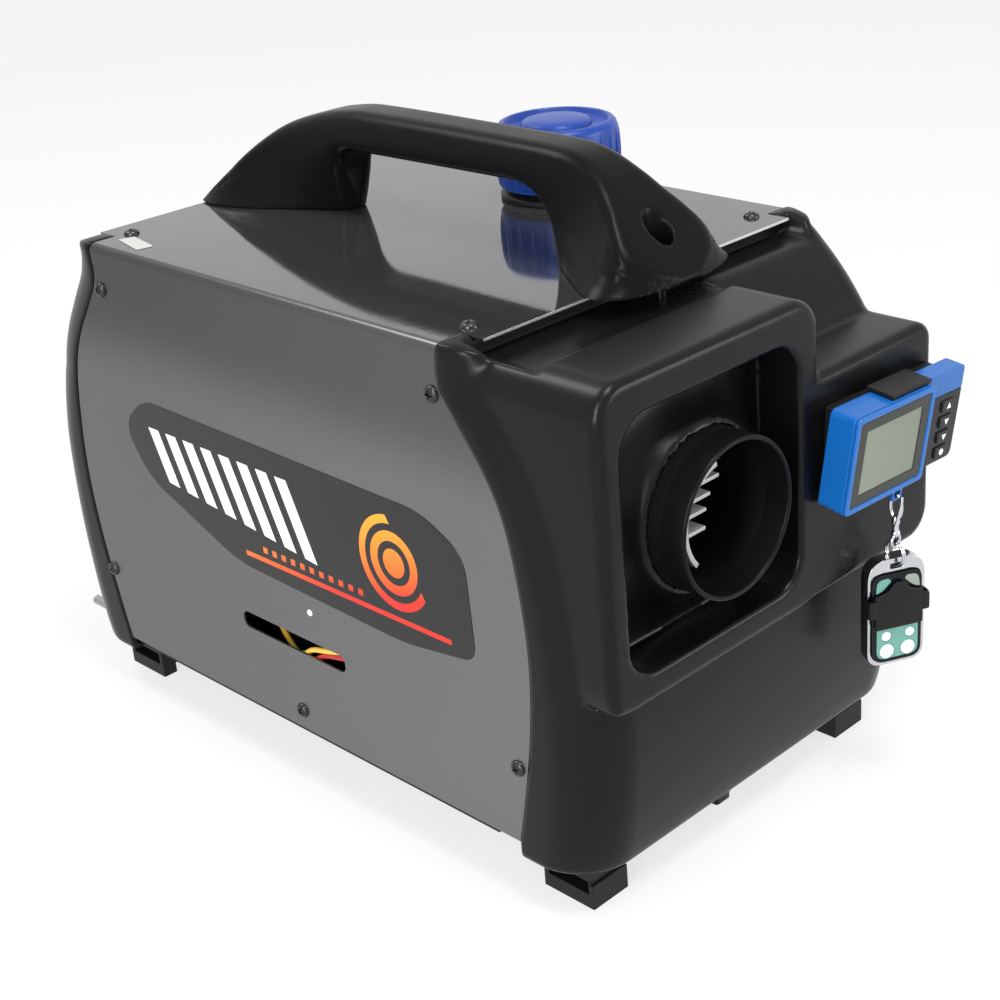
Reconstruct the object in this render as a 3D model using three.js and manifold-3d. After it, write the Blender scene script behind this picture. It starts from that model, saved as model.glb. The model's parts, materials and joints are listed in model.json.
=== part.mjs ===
// Portable all-in-one diesel air heater.
// Millimetres, +Z up. The front, with the warm-air outlet, faces -Y.
// The origin lies on the ground under the middle of the overall length.
// Sizes below are written from the middle of the case, FRAME_SHIFT in front of it.

import * as THREE from "three";
import { mergeVertices } from "three/addons/utils/BufferGeometryUtils.js";
import Module from "manifold-3d";

const wasm = await Module();
wasm.setup();

// ---------------------------------------------------------------- sizes

const GAP = 0.3;                    // between pieces that seat on each other
const FRAME_SHIFT = 12.5;           // from the middle of the overall length to the middle of the case

// case
const CASE_WIDTH = 245;             // over the sheet-metal sides
const CASE_TOP = 277;               // upper face of the sheet
const SHEET = 1.2;                  // sheet-metal thickness
const SHEET_BEND = 4;               // outer bend radius of the sheet
const SHEET_BOTTOM = 34;            // lower edge of the sides
const LIP_REACH = 147.4;            // fore and aft reach of the top sheet's lips
const LIP_HALF_WIDTH = 106;
const FLANGE = 14;                  // cap flange that lies behind the sheet edge
const SLOT_LENGTH = 84;             // side slot
const SLOT_HEIGHT = 9.6;
const SLOT_Z = 86.6;

// side outline of the sheet: reach from the middle at each height
const SHEET_EDGE = [
  [34, 161], [58, 166.5], [100, 174], [138, 176.5], [176, 173],
  [205, 166.5], [224, 157], [241, 144.5], [258, 133.5], [277, 134],
];

const EDGE_STEPS = 18;

// side outlines of the moulded end caps
const CAP_FACE = [
  [25, 204], [36, 207], [60, 211], [95, 214], [130, 214], [160, 211.5], [191, 206],
  [213, 199], [234, 189], [248, 179.5], [258, 170.5], [265, 161.5], [271.5, 150], [275, 143], [277.6, 135],
];
const REAR_FACE = [
  [25, 204], [36, 207], [60, 211], [95, 214], [130, 214], [160, 211.5], [191, 204],
  [213, 194.5], [234, 182], [248, 172], [258, 163.5], [265, 156.5], [271.5, 149], [275, 143], [277.6, 135],
];
const CAP_WALL = 3;
const CAP_PROUD = 0.8;              // cap stands proud of the sheet side
const CAP_CORNER = 30;              // plan radius of the cap corners
const CAP_BACK = 90;                // how far back the caps' forms are drawn before they are cut
const CAP_BOTTOM = 25;
const CAP_TOP = 277.6;
const CAP_FOOT_CHAMFER = 3;
const WING_SHOULDER = 14;            // tighter corner over the controller's wing
const VALLEY_Z = 268;               // groove between the top lip and the outlet box
const VALLEY_HALF_WIDTH = 112;
const VALLEY_RADIUS = 9;
const VALLEY_FRONT = 182;

// outlet box and controller wing on the front cap
const BOX_FRONT = 223.6;
const BOX_LEFT = -117;
const BOX_RIGHT = 28;
const BOX_TOP = 272;
const BOX_BOTTOM = 120;
const BOX_TOP_RADIUS = 15;
const WING_RIGHT = 121;
const WING_TOP = 234;
const WING_TOP_RADIUS = 9;
const WING_BOTTOM_RADIUS = 17;
const BOX_EDGE = 4;                 // rounding round the front face
const POCKET = { left: -105, right: 14, bottom: 133.5, top: 255.5, radius: 17, depth: 24 };

// warm-air outlet
const OUTLET_X = -46;
const OUTLET_Z = 194;
const OUTLET_DIAMETER = 75;
const OUTLET_WALL = 2.4;
const OUTLET_FRONT = 236;
const OUTLET_BOSS_BASE = 49;        // radii of the moulded cone round the outlet
const OUTLET_BOSS_FRONT = 41;
const OUTLET_BOSS_HEIGHT = 17;

// base and feet
const TRAY_TOP = 33;
const TRAY_THICK = 2;
const TRAY_HALF_LENGTH = 145;
const FOOT_WIDTH = 24;
const FOOT_LENGTH = 32.5;
const FOOT_OUTER_X = 107.4;
const FOOT_OUTER_Y = 192;

// handle
const WINDOW_TOP = 312.5;
const WINDOW_REAR = 58;
const WINDOW_FRONT = 100;
const HANDLE_BOLT_BORE = 13;
const HANDLE_BOLT_FRONT = -154.5;
const HANDLE_BOSS = 6.5;
const HANDLE_BOLT_REAR = 124;
const HANDLE_BOLT_SHANK = 2.6;
const HANDLE_BOLT_SEAT = 283;

// fuel system
const FILLER_X = 80.5;
const FILLER_Y = -13;
const NECK_DIAMETER = 46;
const NECK_BORE = 38;
const NECK_TOP = 300;
const FUEL_CAP_RADIUS = 34;
const FUEL_CAP_TOP = 318;
const FUEL_CAP_HEIGHT = 34;
const FUEL_CAP_RIBS = 24;
const TANK = { left: 32, right: 117, front: -122, rear: 126, top: 258, corner: 14 };
const TANK_WALL = 3;
const PUMP_X = -82;
const PUMP_Y = 95;
const PUMP_Z = 62;
const PUMP_DIAMETER = 26;
const PUMP_LENGTH = 74;

// heater unit
const UNIT_HALF_WIDTH = 55;
const UNIT_HALF_HEIGHT = 58;
const UNIT_WALL = 2.4;
const UNIT_FRONT = -194;
const UNIT_REAR = 128;
const UNIT_CORNER = 20;
const CORE_RADIUS = 24;
const CORE_FRONT = -184;
const CORE_REAR = -24;
const FIN_COUNT = 18;
const FIN_REACH = 46;
const FIN_THICK = 1.8;
const BURNER_RADIUS = 17;
const MOTOR_RADIUS = 27;
const MOTOR_FRONT = 8;
const MOTOR_REAR = 62;
const SHAFT_RADIUS = 4;
const FAN_RADIUS = 45;
const FAN_FRONT = 76;
const FAN_REAR = 100;
const FAN_BLADES = 9;
const IMPELLER_RADIUS = 32;
const IMPELLER_BLADES = 12;
const PIPE_DIAMETER = 24;
const PIPE_END = 13;                // lower ends, under the tray

// controller, tilted a little forward at its top
const CONTROL_TILT = 0.13;
const CONTROL_LEFT = 25;
const CONTROL_WIDTH = 97;
const CONTROL_HEIGHT = 50;
const CONTROL_MID_Z = 196;
const CONTROL_LEAN = 0.045;          // its right end hangs a little low
const CONTROL_DEPTH = 9.5;
const SCREEN_WIDTH = 63;
const SCREEN_DEPTH = 6.5;
const CONTROL_BUTTONS = 4;

// key fob on its clasp
const FOB_X = 72.5;
const FOB_Y = -241;
const FOB_TURN = 0.48;
const FOB_WIDTH = 31;
const FOB_HEIGHT = 58.5;
const FOB_THICK = 10;

// ------------------------------------------------------------- materials

const BLACK_PLASTIC = { color: 0x28282b, roughness: 0.42, metalness: 0 };
const DARK_PLASTIC = { color: 0x1b1b1d, roughness: 0.55, metalness: 0 };
const GREY_SHEET = { color: 0x77787b, roughness: 0.22, metalness: 0.75 };
const BLUE_PLASTIC = { color: 0x1b4fb4, roughness: 0.35, metalness: 0 };
const CAP_BLUE = { color: 0x2440a8, roughness: 0.38, metalness: 0 };
const ALUMINIUM = { color: 0xb4b6b8, roughness: 0.4, metalness: 1 };
const STEEL = { color: 0x9b9da0, roughness: 0.3, metalness: 1 };
const BRIGHT_STEEL = { color: 0xd2d4d8, roughness: 0.12, metalness: 1 };
const RUBBER = { color: 0x1d1d1e, roughness: 0.8, metalness: 0 };
const TANK_PLASTIC = { color: 0xd8d6cf, roughness: 0.55, metalness: 0 };
const GREEN_HOSE = { color: 0x4c6f55, roughness: 0.5, metalness: 0 };
const SCREEN_GLASS = { color: 0x8c9182, roughness: 0.15, metalness: 0 };
const TEAL = { color: 0x5f8f84, roughness: 0.4, metalness: 0 };
const WHITE_RUBBER = { color: 0xd9e6e6, roughness: 0.5, metalness: 0 };
const YELLOW_WIRE = { color: 0xe2bd3c, roughness: 0.45, metalness: 0 };
const RED_WIRE = { color: 0xa8201a, roughness: 0.45, metalness: 0 };

// ------------------------------------------------------- geometry helpers

const UP = new THREE.Vector3(0, 0, 1);

// closed solid from any closed three.js geometry
function solid(geometry) {
  const bare = geometry.index ? geometry.toNonIndexed() : geometry.clone();
  for (const name of Object.keys(bare.attributes)) {
    if (name !== "position") bare.deleteAttribute(name);
  }
  const merged = mergeVertices(bare, 1e-4);
  const index = merged.index.array;
  const kept = [];
  for (let i = 0; i < index.length; i += 3) {
    const [a, b, c] = [index[i], index[i + 1], index[i + 2]];
    if (a !== b && b !== c && a !== c) kept.push(a, b, c);
  }
  return new wasm.Manifold(new wasm.Mesh({
    numProp: 3,
    vertProperties: new Float32Array(merged.attributes.position.array),
    triVerts: new Uint32Array(kept),
  }));
}

function geometryOf(body) {
  const mesh = body.getMesh();
  const geometry = new THREE.BufferGeometry();
  geometry.setAttribute("position", new THREE.BufferAttribute(mesh.vertProperties, 3));
  geometry.setIndex(new THREE.BufferAttribute(mesh.triVerts, 1));
  geometry.computeVertexNormals();
  return geometry;
}

// prisms: a flat outline pushed along one axis, between two places on it
function prism(shape, low, high, basis, segments = 6) {
  const geometry = new THREE.ExtrudeGeometry(shape, {
    depth: high - low, bevelEnabled: false, curveSegments: segments, steps: 1,
  });
  geometry.translate(0, 0, low);
  geometry.applyMatrix4(basis);
  return solid(geometry);
}

const BASIS_X = new THREE.Matrix4().makeBasis(
  new THREE.Vector3(0, 1, 0), new THREE.Vector3(0, 0, 1), new THREE.Vector3(1, 0, 0));
const BASIS_Y = new THREE.Matrix4().makeBasis(
  new THREE.Vector3(-1, 0, 0), new THREE.Vector3(0, 0, 1), new THREE.Vector3(0, 1, 0));
const BASIS_Z = new THREE.Matrix4();

// outline in (y, z), pushed along x
const prismX = (shape, low, high, segments) => prism(shape, low, high, BASIS_X, segments);
// outline in (x, z), pushed along y; the outline is drawn with x mirrored by this basis
const prismY = (shape, low, high, segments) => prism(shape, low, high, BASIS_Y, segments);
// outline in (x, y), pushed along z
const prismZ = (shape, low, high, segments) => prism(shape, low, high, BASIS_Z, segments);

// closed outline through corners, each corner rounded by its own radius: [x, y, radius]
function outline(corners) {
  const shape = new THREE.Shape();
  const count = corners.length;
  for (let i = 0; i < count; i++) {
    const [px, py] = corners[(i + count - 1) % count];
    const [x, y, radius = 0] = corners[i];
    const [nx, ny] = corners[(i + 1) % count];
    const before = new THREE.Vector2(px - x, py - y);
    const after = new THREE.Vector2(nx - x, ny - y);
    const reach = Math.min(radius, before.length() / 2, after.length() / 2);
    before.setLength(reach);
    after.setLength(reach);
    const start = [x + before.x, y + before.y];
    if (i === 0) shape.moveTo(...start);
    else shape.lineTo(...start);
    if (reach > 0) shape.quadraticCurveTo(x, y, x + after.x, y + after.y);
  }
  shape.closePath();
  return shape;
}

function rectangle(x0, y0, x1, y1, radius = 0) {
  return outline([[x0, y0, radius], [x1, y0, radius], [x1, y1, radius], [x0, y1, radius]]);
}

// the same outline mirrored in x, for prismY
const flip = (corners) => corners.map(([x, y, radius]) => [-x, y, radius]).reverse();
const slabY = (corners, low, high, segments) => prismY(outline(flip(corners)), low, high, segments);
const boxCorners = (x0, z0, x1, z1, r = 0) => [[x0, z0, r], [x1, z0, r], [x1, z1, r], [x0, z1, r]];

function block(x0, x1, y0, y1, z0, z1) {
  const geometry = new THREE.BoxGeometry(x1 - x0, y1 - y0, z1 - z0);
  geometry.translate((x0 + x1) / 2, (y0 + y1) / 2, (z0 + z1) / 2);
  return solid(geometry);
}

// round bar between two heights on an axis: "x", "y" or "z"
function bar(axis, radius, low, high, centre, segments = 32, endRadius = radius) {
  const geometry = new THREE.CylinderGeometry(endRadius, radius, high - low, segments);
  geometry.translate(0, (low + high) / 2, 0);
  if (axis === "x") geometry.rotateZ(-Math.PI / 2);
  if (axis === "z") geometry.rotateX(Math.PI / 2);
  geometry.translate(...centre);
  return solid(geometry);
}

// turned piece: profile of [radius, height] pairs, axis along z
function turned(profile, segments = 40) {
  const points = profile.map(([radius, height]) => new THREE.Vector2(radius, height));
  const geometry = new THREE.LatheGeometry(points, segments);
  geometry.rotateX(Math.PI / 2);
  return solid(geometry);
}

// tube or cord along a smooth route
function tube(points, radius, steps, sides = 8) {
  const path = new THREE.CatmullRomCurve3(points.map((p) => new THREE.Vector3(...p)));
  const section = new THREE.Shape();
  for (let i = 0; i < sides; i++) {
    const angle = (i / sides) * Math.PI * 2;
    const place = [radius * Math.cos(angle), radius * Math.sin(angle)];
    if (i === 0) section.moveTo(...place);
    else section.lineTo(...place);
  }
  section.closePath();
  const geometry = new THREE.ExtrudeGeometry(section, {
    steps, bevelEnabled: false, extrudePath: path,
  });
  return solid(geometry);
}

// skin over a row of rings, all with the same number of points
function loft(rings) {
  const count = rings[0].length;
  const position = rings.flat(2);
  const index = [];
  for (let r = 0; r < rings.length - 1; r++) {
    for (let i = 0; i < count; i++) {
      const j = (i + 1) % count;
      const [a, b, c, d] = [r * count + i, r * count + j, (r + 1) * count + i, (r + 1) * count + j];
      index.push(a, b, d, a, d, c);
    }
  }
  for (const [r, turnRound] of [[0, true], [rings.length - 1, false]]) {
    const ring = rings[r];
    const flat = flatten(ring);
    for (const [a, b, c] of THREE.ShapeUtils.triangulateShape(flat, [])) {
      const [i, j, k] = [a + r * count, b + r * count, c + r * count];
      if (isCounterClockwise(flat) !== turnRound) index.push(i, j, k);
      else index.push(i, k, j);
    }
  }
  const geometry = new THREE.BufferGeometry();
  geometry.setAttribute("position", new THREE.Float32BufferAttribute(position, 3));
  geometry.setIndex(outward(position, index));
  return solid(geometry);
}

// ring of 3-D points laid flat on the plane that it lies in
function flatten(ring) {
  const spread = [0, 1, 2].map((axis) => {
    const values = ring.map((point) => point[axis]);
    return Math.max(...values) - Math.min(...values);
  });
  const across = spread.indexOf(Math.min(...spread));
  const kept = [0, 1, 2].filter((axis) => axis !== across);
  return ring.map((point) => new THREE.Vector2(point[kept[0]], point[kept[1]]));
}

const isCounterClockwise = (flat) => THREE.ShapeUtils.area(flat) > 0;

// triangles turned so that the enclosed volume is positive
function outward(position, index) {
  let volume = 0;
  const at = (i) => new THREE.Vector3(position[3 * i], position[3 * i + 1], position[3 * i + 2]);
  for (let i = 0; i < index.length; i += 3) {
    volume += at(index[i]).dot(at(index[i + 1]).cross(at(index[i + 2])));
  }
  if (volume > 0) return index;
  const turned = [];
  for (let i = 0; i < index.length; i += 3) turned.push(index[i], index[i + 2], index[i + 1]);
  return turned;
}

// smooth reading of a table of [height, reach] pairs
function reachAt(table, height) {
  const last = table.length - 1;
  if (height <= table[0][0]) return table[0][1];
  if (height >= table[last][0]) return table[last][1];
  let i = 0;
  while (table[i + 1][0] < height) i++;
  const [h1, r1] = table[i];
  const [h2, r2] = table[i + 1];
  const slope = (a, b) => (table[b][1] - table[a][1]) / (table[b][0] - table[a][0]);
  const m1 = slope(Math.max(i - 1, 0), i + 1);
  const m2 = slope(i, Math.min(i + 2, last));
  const span = h2 - h1;
  const t = (height - h1) / span;
  return r1 * (2 * t ** 3 - 3 * t ** 2 + 1) + r2 * (3 * t ** 2 - 2 * t ** 3)
    + m1 * span * (t ** 3 - 2 * t ** 2 + t) + m2 * span * (t ** 3 - t ** 2);
}

const heights = (low, high, count) =>
  Array.from({ length: count + 1 }, (_, i) => low + ((high - low) * i) / count);

// ------------------------------------------------------------- assembly

const assembly = new THREE.Group();
assembly.name = "diesel_air_heater";
const heater = new THREE.Group();
heater.position.y = FRAME_SHIFT;
assembly.add(heater);

function add(name, body, finish, parent = heater) {
  const mesh = new THREE.Mesh(geometryOf(body), new THREE.MeshStandardMaterial(finish));
  mesh.name = name;
  parent.add(mesh);
  return mesh;
}

// ---------------------------------------------------------- sheet cover

// clearance hole for a handle bolt
const boltBore = (y) => bar("z", HANDLE_BOLT_SHANK + GAP, 200, 400, [0, y, 0], 16);

const halfWidth = CASE_WIDTH / 2;
const sheetUnder = CASE_TOP - SHEET;
const sheetInner = halfWidth - SHEET;

// side view of the sheet, drawn in (y, z)
function sheetSideOutline() {
  const rows = heights(SHEET_BOTTOM, CASE_TOP, EDGE_STEPS);
  const front = rows.map((z) => [-reachAt(SHEET_EDGE, z), z]);
  const rear = rows.map((z) => [reachAt(SHEET_EDGE, z), z]).reverse();
  return outline([...front, ...rear]);
}

function coverSheet() {
  const outer = slabY([
    [-halfWidth, SHEET_BOTTOM], [halfWidth, SHEET_BOTTOM],
    [halfWidth, CASE_TOP, SHEET_BEND], [-halfWidth, CASE_TOP, SHEET_BEND],
  ], -200, 200, 4);
  const inner = slabY([
    [-sheetInner, SHEET_BOTTOM - 1], [sheetInner, SHEET_BOTTOM - 1],
    [sheetInner, sheetUnder, SHEET_BEND - SHEET], [-sheetInner, sheetUnder, SHEET_BEND - SHEET],
  ], -201, 201, 4);
  const sides = prismX(sheetSideOutline(), -halfWidth - 1, halfWidth + 1);
  const lips = prismZ(rectangle(-LIP_HALF_WIDTH, -LIP_REACH, LIP_HALF_WIDTH, LIP_REACH, 1.5),
    sheetUnder - 2, CASE_TOP + 1);
  const slot = prismX(rectangle(-SLOT_LENGTH / 2, SLOT_Z - SLOT_HEIGHT / 2,
    SLOT_LENGTH / 2, SLOT_Z + SLOT_HEIGHT / 2, SLOT_HEIGHT * 0.8), -halfWidth - 1, halfWidth + 1);
  const filler = bar("z", NECK_DIAMETER / 2 + 2, sheetUnder - 2, CASE_TOP + 2, [FILLER_X, FILLER_Y, 0]);
  return outer.subtract(inner).intersect(sides.add(lips)).subtract(slot).subtract(filler)
    .subtract(boltBore(HANDLE_BOLT_FRONT)).subtract(boltBore(HANDLE_BOLT_REAR));
}

// ------------------------------------------------------------- end caps

// plan ring of a cap at one height, for the front (-y)
function capRing(z, half, reach, radius, facets, rightRadius = radius) {
  const corner = (r) => heights(0, Math.PI / 2, facets).map((angle) => [
    half - r + r * Math.cos(angle), -(reach - r + r * Math.sin(angle)), z,
  ]);
  const left = corner(radius).map(([x, y]) => [-x, y, z]).reverse();
  return [[half, -CAP_BACK, z], ...corner(rightRadius), ...left, [-half, -CAP_BACK, z]];
}

const CAP_ROWS = [
  CAP_BOTTOM, CAP_BOTTOM + CAP_FOOT_CHAMFER, 40, 60, 90, 125, 155, 178, 196, 212, 226, 238, 248, 257,
  265, 271.5, 275, CAP_TOP,
];
const INNER_ROWS = CAP_ROWS.filter((_, i) => i % 2 === 0);

// rounded block that a cap is carved from
function capForm(face, shoulder = CAP_CORNER) {
  return loft(CAP_ROWS.map((z) => {
    const foot = Math.max(0, CAP_FOOT_CHAMFER - (z - CAP_BOTTOM));
    const rise = THREE.MathUtils.smoothstep(z, 185, WING_TOP);
    const right = THREE.MathUtils.lerp(CAP_CORNER, shoulder, rise);
    return capRing(z, halfWidth + CAP_PROUD - foot, reachAt(face, z) - foot, CAP_CORNER, 6, right);
  }));
}

// its hollow
function capHollow(face) {
  const [low, high] = [CAP_BOTTOM + CAP_WALL, CAP_TOP - CAP_WALL - 1];
  const rows = [low, ...INNER_ROWS.filter((z) => z > low && z < high), high];
  return loft(rows.map((z) => capRing(z, halfWidth + CAP_PROUD - CAP_WALL, reachAt(face, z) - CAP_WALL - 0.6,
    CAP_CORNER - CAP_WALL, 4)));
}

// everything behind the sheet's curved edge, where a cap doesn't go
function behindSheetEdge(grow) {
  const rows = [CAP_BOTTOM - 9, ...heights(SHEET_BOTTOM, CASE_TOP, EDGE_STEPS), CASE_TOP + 9];
  const front = rows.map((z) => [-(reachAt(SHEET_EDGE, z) + grow), z]);
  return prismX(outline([...front, [0, CASE_TOP + 9], [0, CAP_BOTTOM - 9]]), -200, 200);
}

// flange that lies behind the sheet's edge, held by the case screws
function capFlange() {
  const low = CAP_BOTTOM + 4;
  const high = sheetUnder - GAP;
  const rows = [low, ...INNER_ROWS.filter((z) => z > low && z < high), high];
  const ring = (z, half, back, front) => [
    [half, -back, z], [half, -front, z], [-half, -front, z], [-half, -back, z],
  ];
  const half = sheetInner - GAP;
  const outer = loft(rows.map((z) => {
    const edge = reachAt(SHEET_EDGE, z);
    return ring(z, half, edge - FLANGE, edge + 8);
  }));
  const inner = loft([low - 1, ...rows.slice(1, -1), high - CAP_WALL].map((z) => {
    const edge = reachAt(SHEET_EDGE, z);
    return ring(z, half - CAP_WALL, edge - FLANGE - 2, edge + 12);
  }));
  const bend = slabY([[-half, low], [half, low], [half, high, SHEET_BEND], [-half, high, SHEET_BEND]], -250, 0);
  return outer.intersect(bend).subtract(inner);
}

// cut-out that lets the sheet's lip lie over the cap
function lipRebate() {
  return prismZ(rectangle(-LIP_HALF_WIDTH - GAP, -LIP_REACH - GAP,
    LIP_HALF_WIDTH + GAP, 0, 1.5), sheetUnder - GAP, CAP_TOP + 5);
  return { outer, inner, rebate };
}

function valley(depth, sink = 0) {
  const half = VALLEY_HALF_WIDTH + sink;
  return slabY(boxCorners(-half, VALLEY_Z - sink, half, CAP_TOP + 30, VALLEY_RADIUS),
    -depth, -LIP_REACH + 6 + sink, 5);
}

const BOX_CORNERS = (inset) => [
  [BOX_LEFT + inset, BOX_BOTTOM + inset, 5],
  [WING_RIGHT - inset, BOX_BOTTOM + inset, WING_BOTTOM_RADIUS],
  [WING_RIGHT - inset, WING_TOP - inset, WING_TOP_RADIUS],
  [BOX_RIGHT - inset, WING_TOP - inset, 5],
  [BOX_RIGHT - inset, BOX_TOP - inset, BOX_TOP_RADIUS],
  [BOX_LEFT + inset, BOX_TOP - inset, BOX_TOP_RADIUS],
];

// front block with rounded front edges, lofted from three nested outlines
function outletBox() {
  const rows = [[0, -140], [0, -(BOX_FRONT - BOX_EDGE)]];
  for (const step of [0.3, 0.6, 1]) {
    const angle = step * (Math.PI / 2);
    rows.push([BOX_EDGE * (1 - Math.cos(angle)), -(BOX_FRONT - BOX_EDGE + BOX_EDGE * Math.sin(angle))]);
  }
  return loft(rows.map(([inset, y]) => outlinePoints(BOX_CORNERS(inset)).map(([x, z]) => [x, y, z])));
}

const outlinePoints = (corners) => outline(corners).getPoints(5).slice(0, -1).map((p) => [p.x, p.y]);

function frontCap() {
  const outer = capForm(CAP_FACE, WING_SHOULDER);
  const inner = capHollow(CAP_FACE);
  const rebate = lipRebate();
  const box = outletBox();
  const boxInside = slabY(BOX_CORNERS(CAP_WALL), -(BOX_FRONT - CAP_WALL), -130, 4);
  const groove = valley(VALLEY_FRONT);
  const grooveFloor = valley(VALLEY_FRONT + CAP_WALL, CAP_WALL).subtract(groove);
  const mouthFloor = BOX_FRONT - POCKET.depth;
  const pocket = slabY(boxCorners(POCKET.left, POCKET.bottom, POCKET.right, POCKET.top, POCKET.radius),
    -(BOX_FRONT + 5), -mouthFloor, 5);
  const pocketShell = slabY(boxCorners(POCKET.left - CAP_WALL, POCKET.bottom - CAP_WALL,
    POCKET.right + CAP_WALL, POCKET.top + CAP_WALL, POCKET.radius + CAP_WALL),
    -(BOX_FRONT - 1), -(mouthFloor - CAP_WALL), 5);
  const centre = [OUTLET_X, 0, OUTLET_Z];
  const boss = bar("y", OUTLET_BOSS_FRONT, -(mouthFloor + OUTLET_BOSS_HEIGHT), -(mouthFloor - 1), centre, 36,
    OUTLET_BOSS_BASE);
  const boltBoss = bar("z", HANDLE_BOSS, VALLEY_Z - CAP_WALL, CASE_TOP, [0, HANDLE_BOLT_FRONT, 0], 20);
  const bore = bar("y", OUTLET_DIAMETER / 2 + GAP, -260, -150, centre, 40);
  const tab = block(-29, -19, -203, -196, CAP_BOTTOM - 4, CAP_BOTTOM + 4);
  const form = outer.add(box);
  return form.subtract(inner.add(boxInside))
    .add(grooveFloor.intersect(form))
    .subtract(groove)
    .add(pocketShell)
    .subtract(pocket)
    .add(boss)
    .subtract(bore)
    .subtract(rebate)
    .subtract(behindSheetEdge(GAP))
    .add(capFlange().subtract(rebate))
    .add(tab)
    .add(boltBoss)
    .subtract(boltBore(HANDLE_BOLT_FRONT));
}

function rearCap() {
  const rebate = lipRebate();
  const centre = [-OUTLET_X, 0, OUTLET_Z];
  const drain = bar("y", DRAIN_RADIUS + GAP, -260, -150, [-DRAIN_X, 0, DRAIN_Z], 16);
  const mouth = bar("y", INTAKE_RADIUS + GAP, -260, -150, centre, 28);
  const seat = bar("y", INTAKE_RADIUS + 5, -(INTAKE_PLANE + 1), -(INTAKE_PLANE - CAP_WALL), centre, 36);
  const gland = bar("y", GLAND_RADIUS + GAP, -260, -150, [-GLAND_X, 0, GLAND_Z], 20);
  const shell = capForm(REAR_FACE).subtract(capHollow(REAR_FACE)).add(seat)
    .subtract(mouth).subtract(gland).subtract(drain)
    .subtract(rebate).subtract(behindSheetEdge(GAP)).add(capFlange().subtract(rebate));
  return shell.rotate([0, 0, 180]).subtract(boltBore(HANDLE_BOLT_REAR));
}

// rear air intake and power-lead gland
const INTAKE_RADIUS = 46;
const INTAKE_PLANE = 200;
const GLAND_RADIUS = 8;
const GLAND_X = 70;
const GLAND_Z = 60;

// drain tube that pokes out low at the rear left
const DRAIN_RADIUS = 2.8;
const DRAIN_X = -107;
const DRAIN_Z = 32;

function drainTube() {
  const centre = [DRAIN_X, 0, DRAIN_Z];
  return bar("y", DRAIN_RADIUS, 176, 224, centre, 16).subtract(bar("y", DRAIN_RADIUS - 0.8, 170, 230, centre, 12));
}

// guard grille with rings and spokes, seated in the rear cap's mouth
function intakeGrille() {
  const centre = [OUTLET_X, 0, OUTLET_Z];
  const low = INTAKE_PLANE - 2.5;
  const high = INTAKE_PLANE + 0.5;
  const ring = (radius, width) => bar("y", radius, low, high, centre, 28)
    .subtract(bar("y", radius - width, low - 1, high + 1, centre, 28));
  let guard = ring(INTAKE_RADIUS, 4);
  for (const radius of [34, 21]) guard = guard.add(ring(radius, 2.4));
  guard = guard.add(bar("y", 8, low, high, centre, 20));
  for (let i = 0; i < 6; i++) {
    const spoke = block(-1.5, 1.5, low, high, 4, INTAKE_RADIUS - 2).rotate([0, i * 60, 0]);
    guard = guard.add(spoke.translate(centre));
  }
  return guard;
}

function powerGland() {
  const reach = reachAt(REAR_FACE, GLAND_Z + GLAND_RADIUS + 3);
  const centre = [GLAND_X, 0, GLAND_Z];
  return bar("y", GLAND_RADIUS, reach - 9, reach + 2, centre, 20)
    .add(bar("y", GLAND_RADIUS + 3, reach + GAP, reach + 5, centre, 6))
    .add(bar("y", GLAND_RADIUS, reach + 4, reach + 11, centre, 20, GLAND_RADIUS - 2))
    .subtract(bar("y", 3.5, reach - 20, reach + 20, centre, 16));
}

// -------------------------------------------------------- tray and feet

function baseTray() {
  const rim = 8;
  const half = sheetInner - GAP;
  const plate = block(-half, half, -TRAY_HALF_LENGTH, TRAY_HALF_LENGTH, TRAY_TOP - TRAY_THICK, TRAY_TOP);
  const walls = block(-half, half, -TRAY_HALF_LENGTH + 12, TRAY_HALF_LENGTH - 12, TRAY_TOP - 1, TRAY_TOP + rim)
    .subtract(block(-half + 1.5, half - 1.5, -200, 200, TRAY_TOP - 2, TRAY_TOP + rim + 1));
  let tray = plate.add(walls);
  for (const [x, y] of PIPE_PLACES) {
    tray = tray.subtract(bar("z", PIPE_DIAMETER / 2 + GAP, 0, 60, [x, y, 0], 24));
  }
  return tray;
}

const EXHAUST_PLACE = [OUTLET_X, -70];
const AIR_PLACE = [OUTLET_X, -6];
const PIPE_PLACES = [EXHAUST_PLACE, AIR_PLACE];

// moulded foot: a channel open on its outer side, with a notch at its front
function foot(sideX, sideY) {
  const [x1, y1] = [FOOT_OUTER_X, FOOT_OUTER_Y];
  const [x0, y0] = [x1 - FOOT_WIDTH, y1 - FOOT_LENGTH];
  const top = CAP_BOTTOM - GAP;
  const body = block(x0, x1, y0, y1, 0, top);
  const channel = block(x1 - 7, x1 + 1, y0 + 3, y1 - 3, 8, 15);
  const hollow = block(x0 + 4, x1 - 9, y0 - 1, y1 - 4, -1, 6);
  const notch = prismX(outline([[y1 - 2.2, 14], [y1 + 1, 12.5], [y1 + 1, 17.5], [y1 - 2.2, 16]]), x0 - 1, x1 + 1);
  const quarter = body.subtract(channel).subtract(hollow).subtract(notch);
  const mirrored = sideX < 0 ? quarter.mirror([1, 0, 0]) : quarter;
  return sideY < 0 ? mirrored.mirror([0, 1, 0]) : mirrored;
}

// --------------------------------------------------------------- handle

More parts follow.
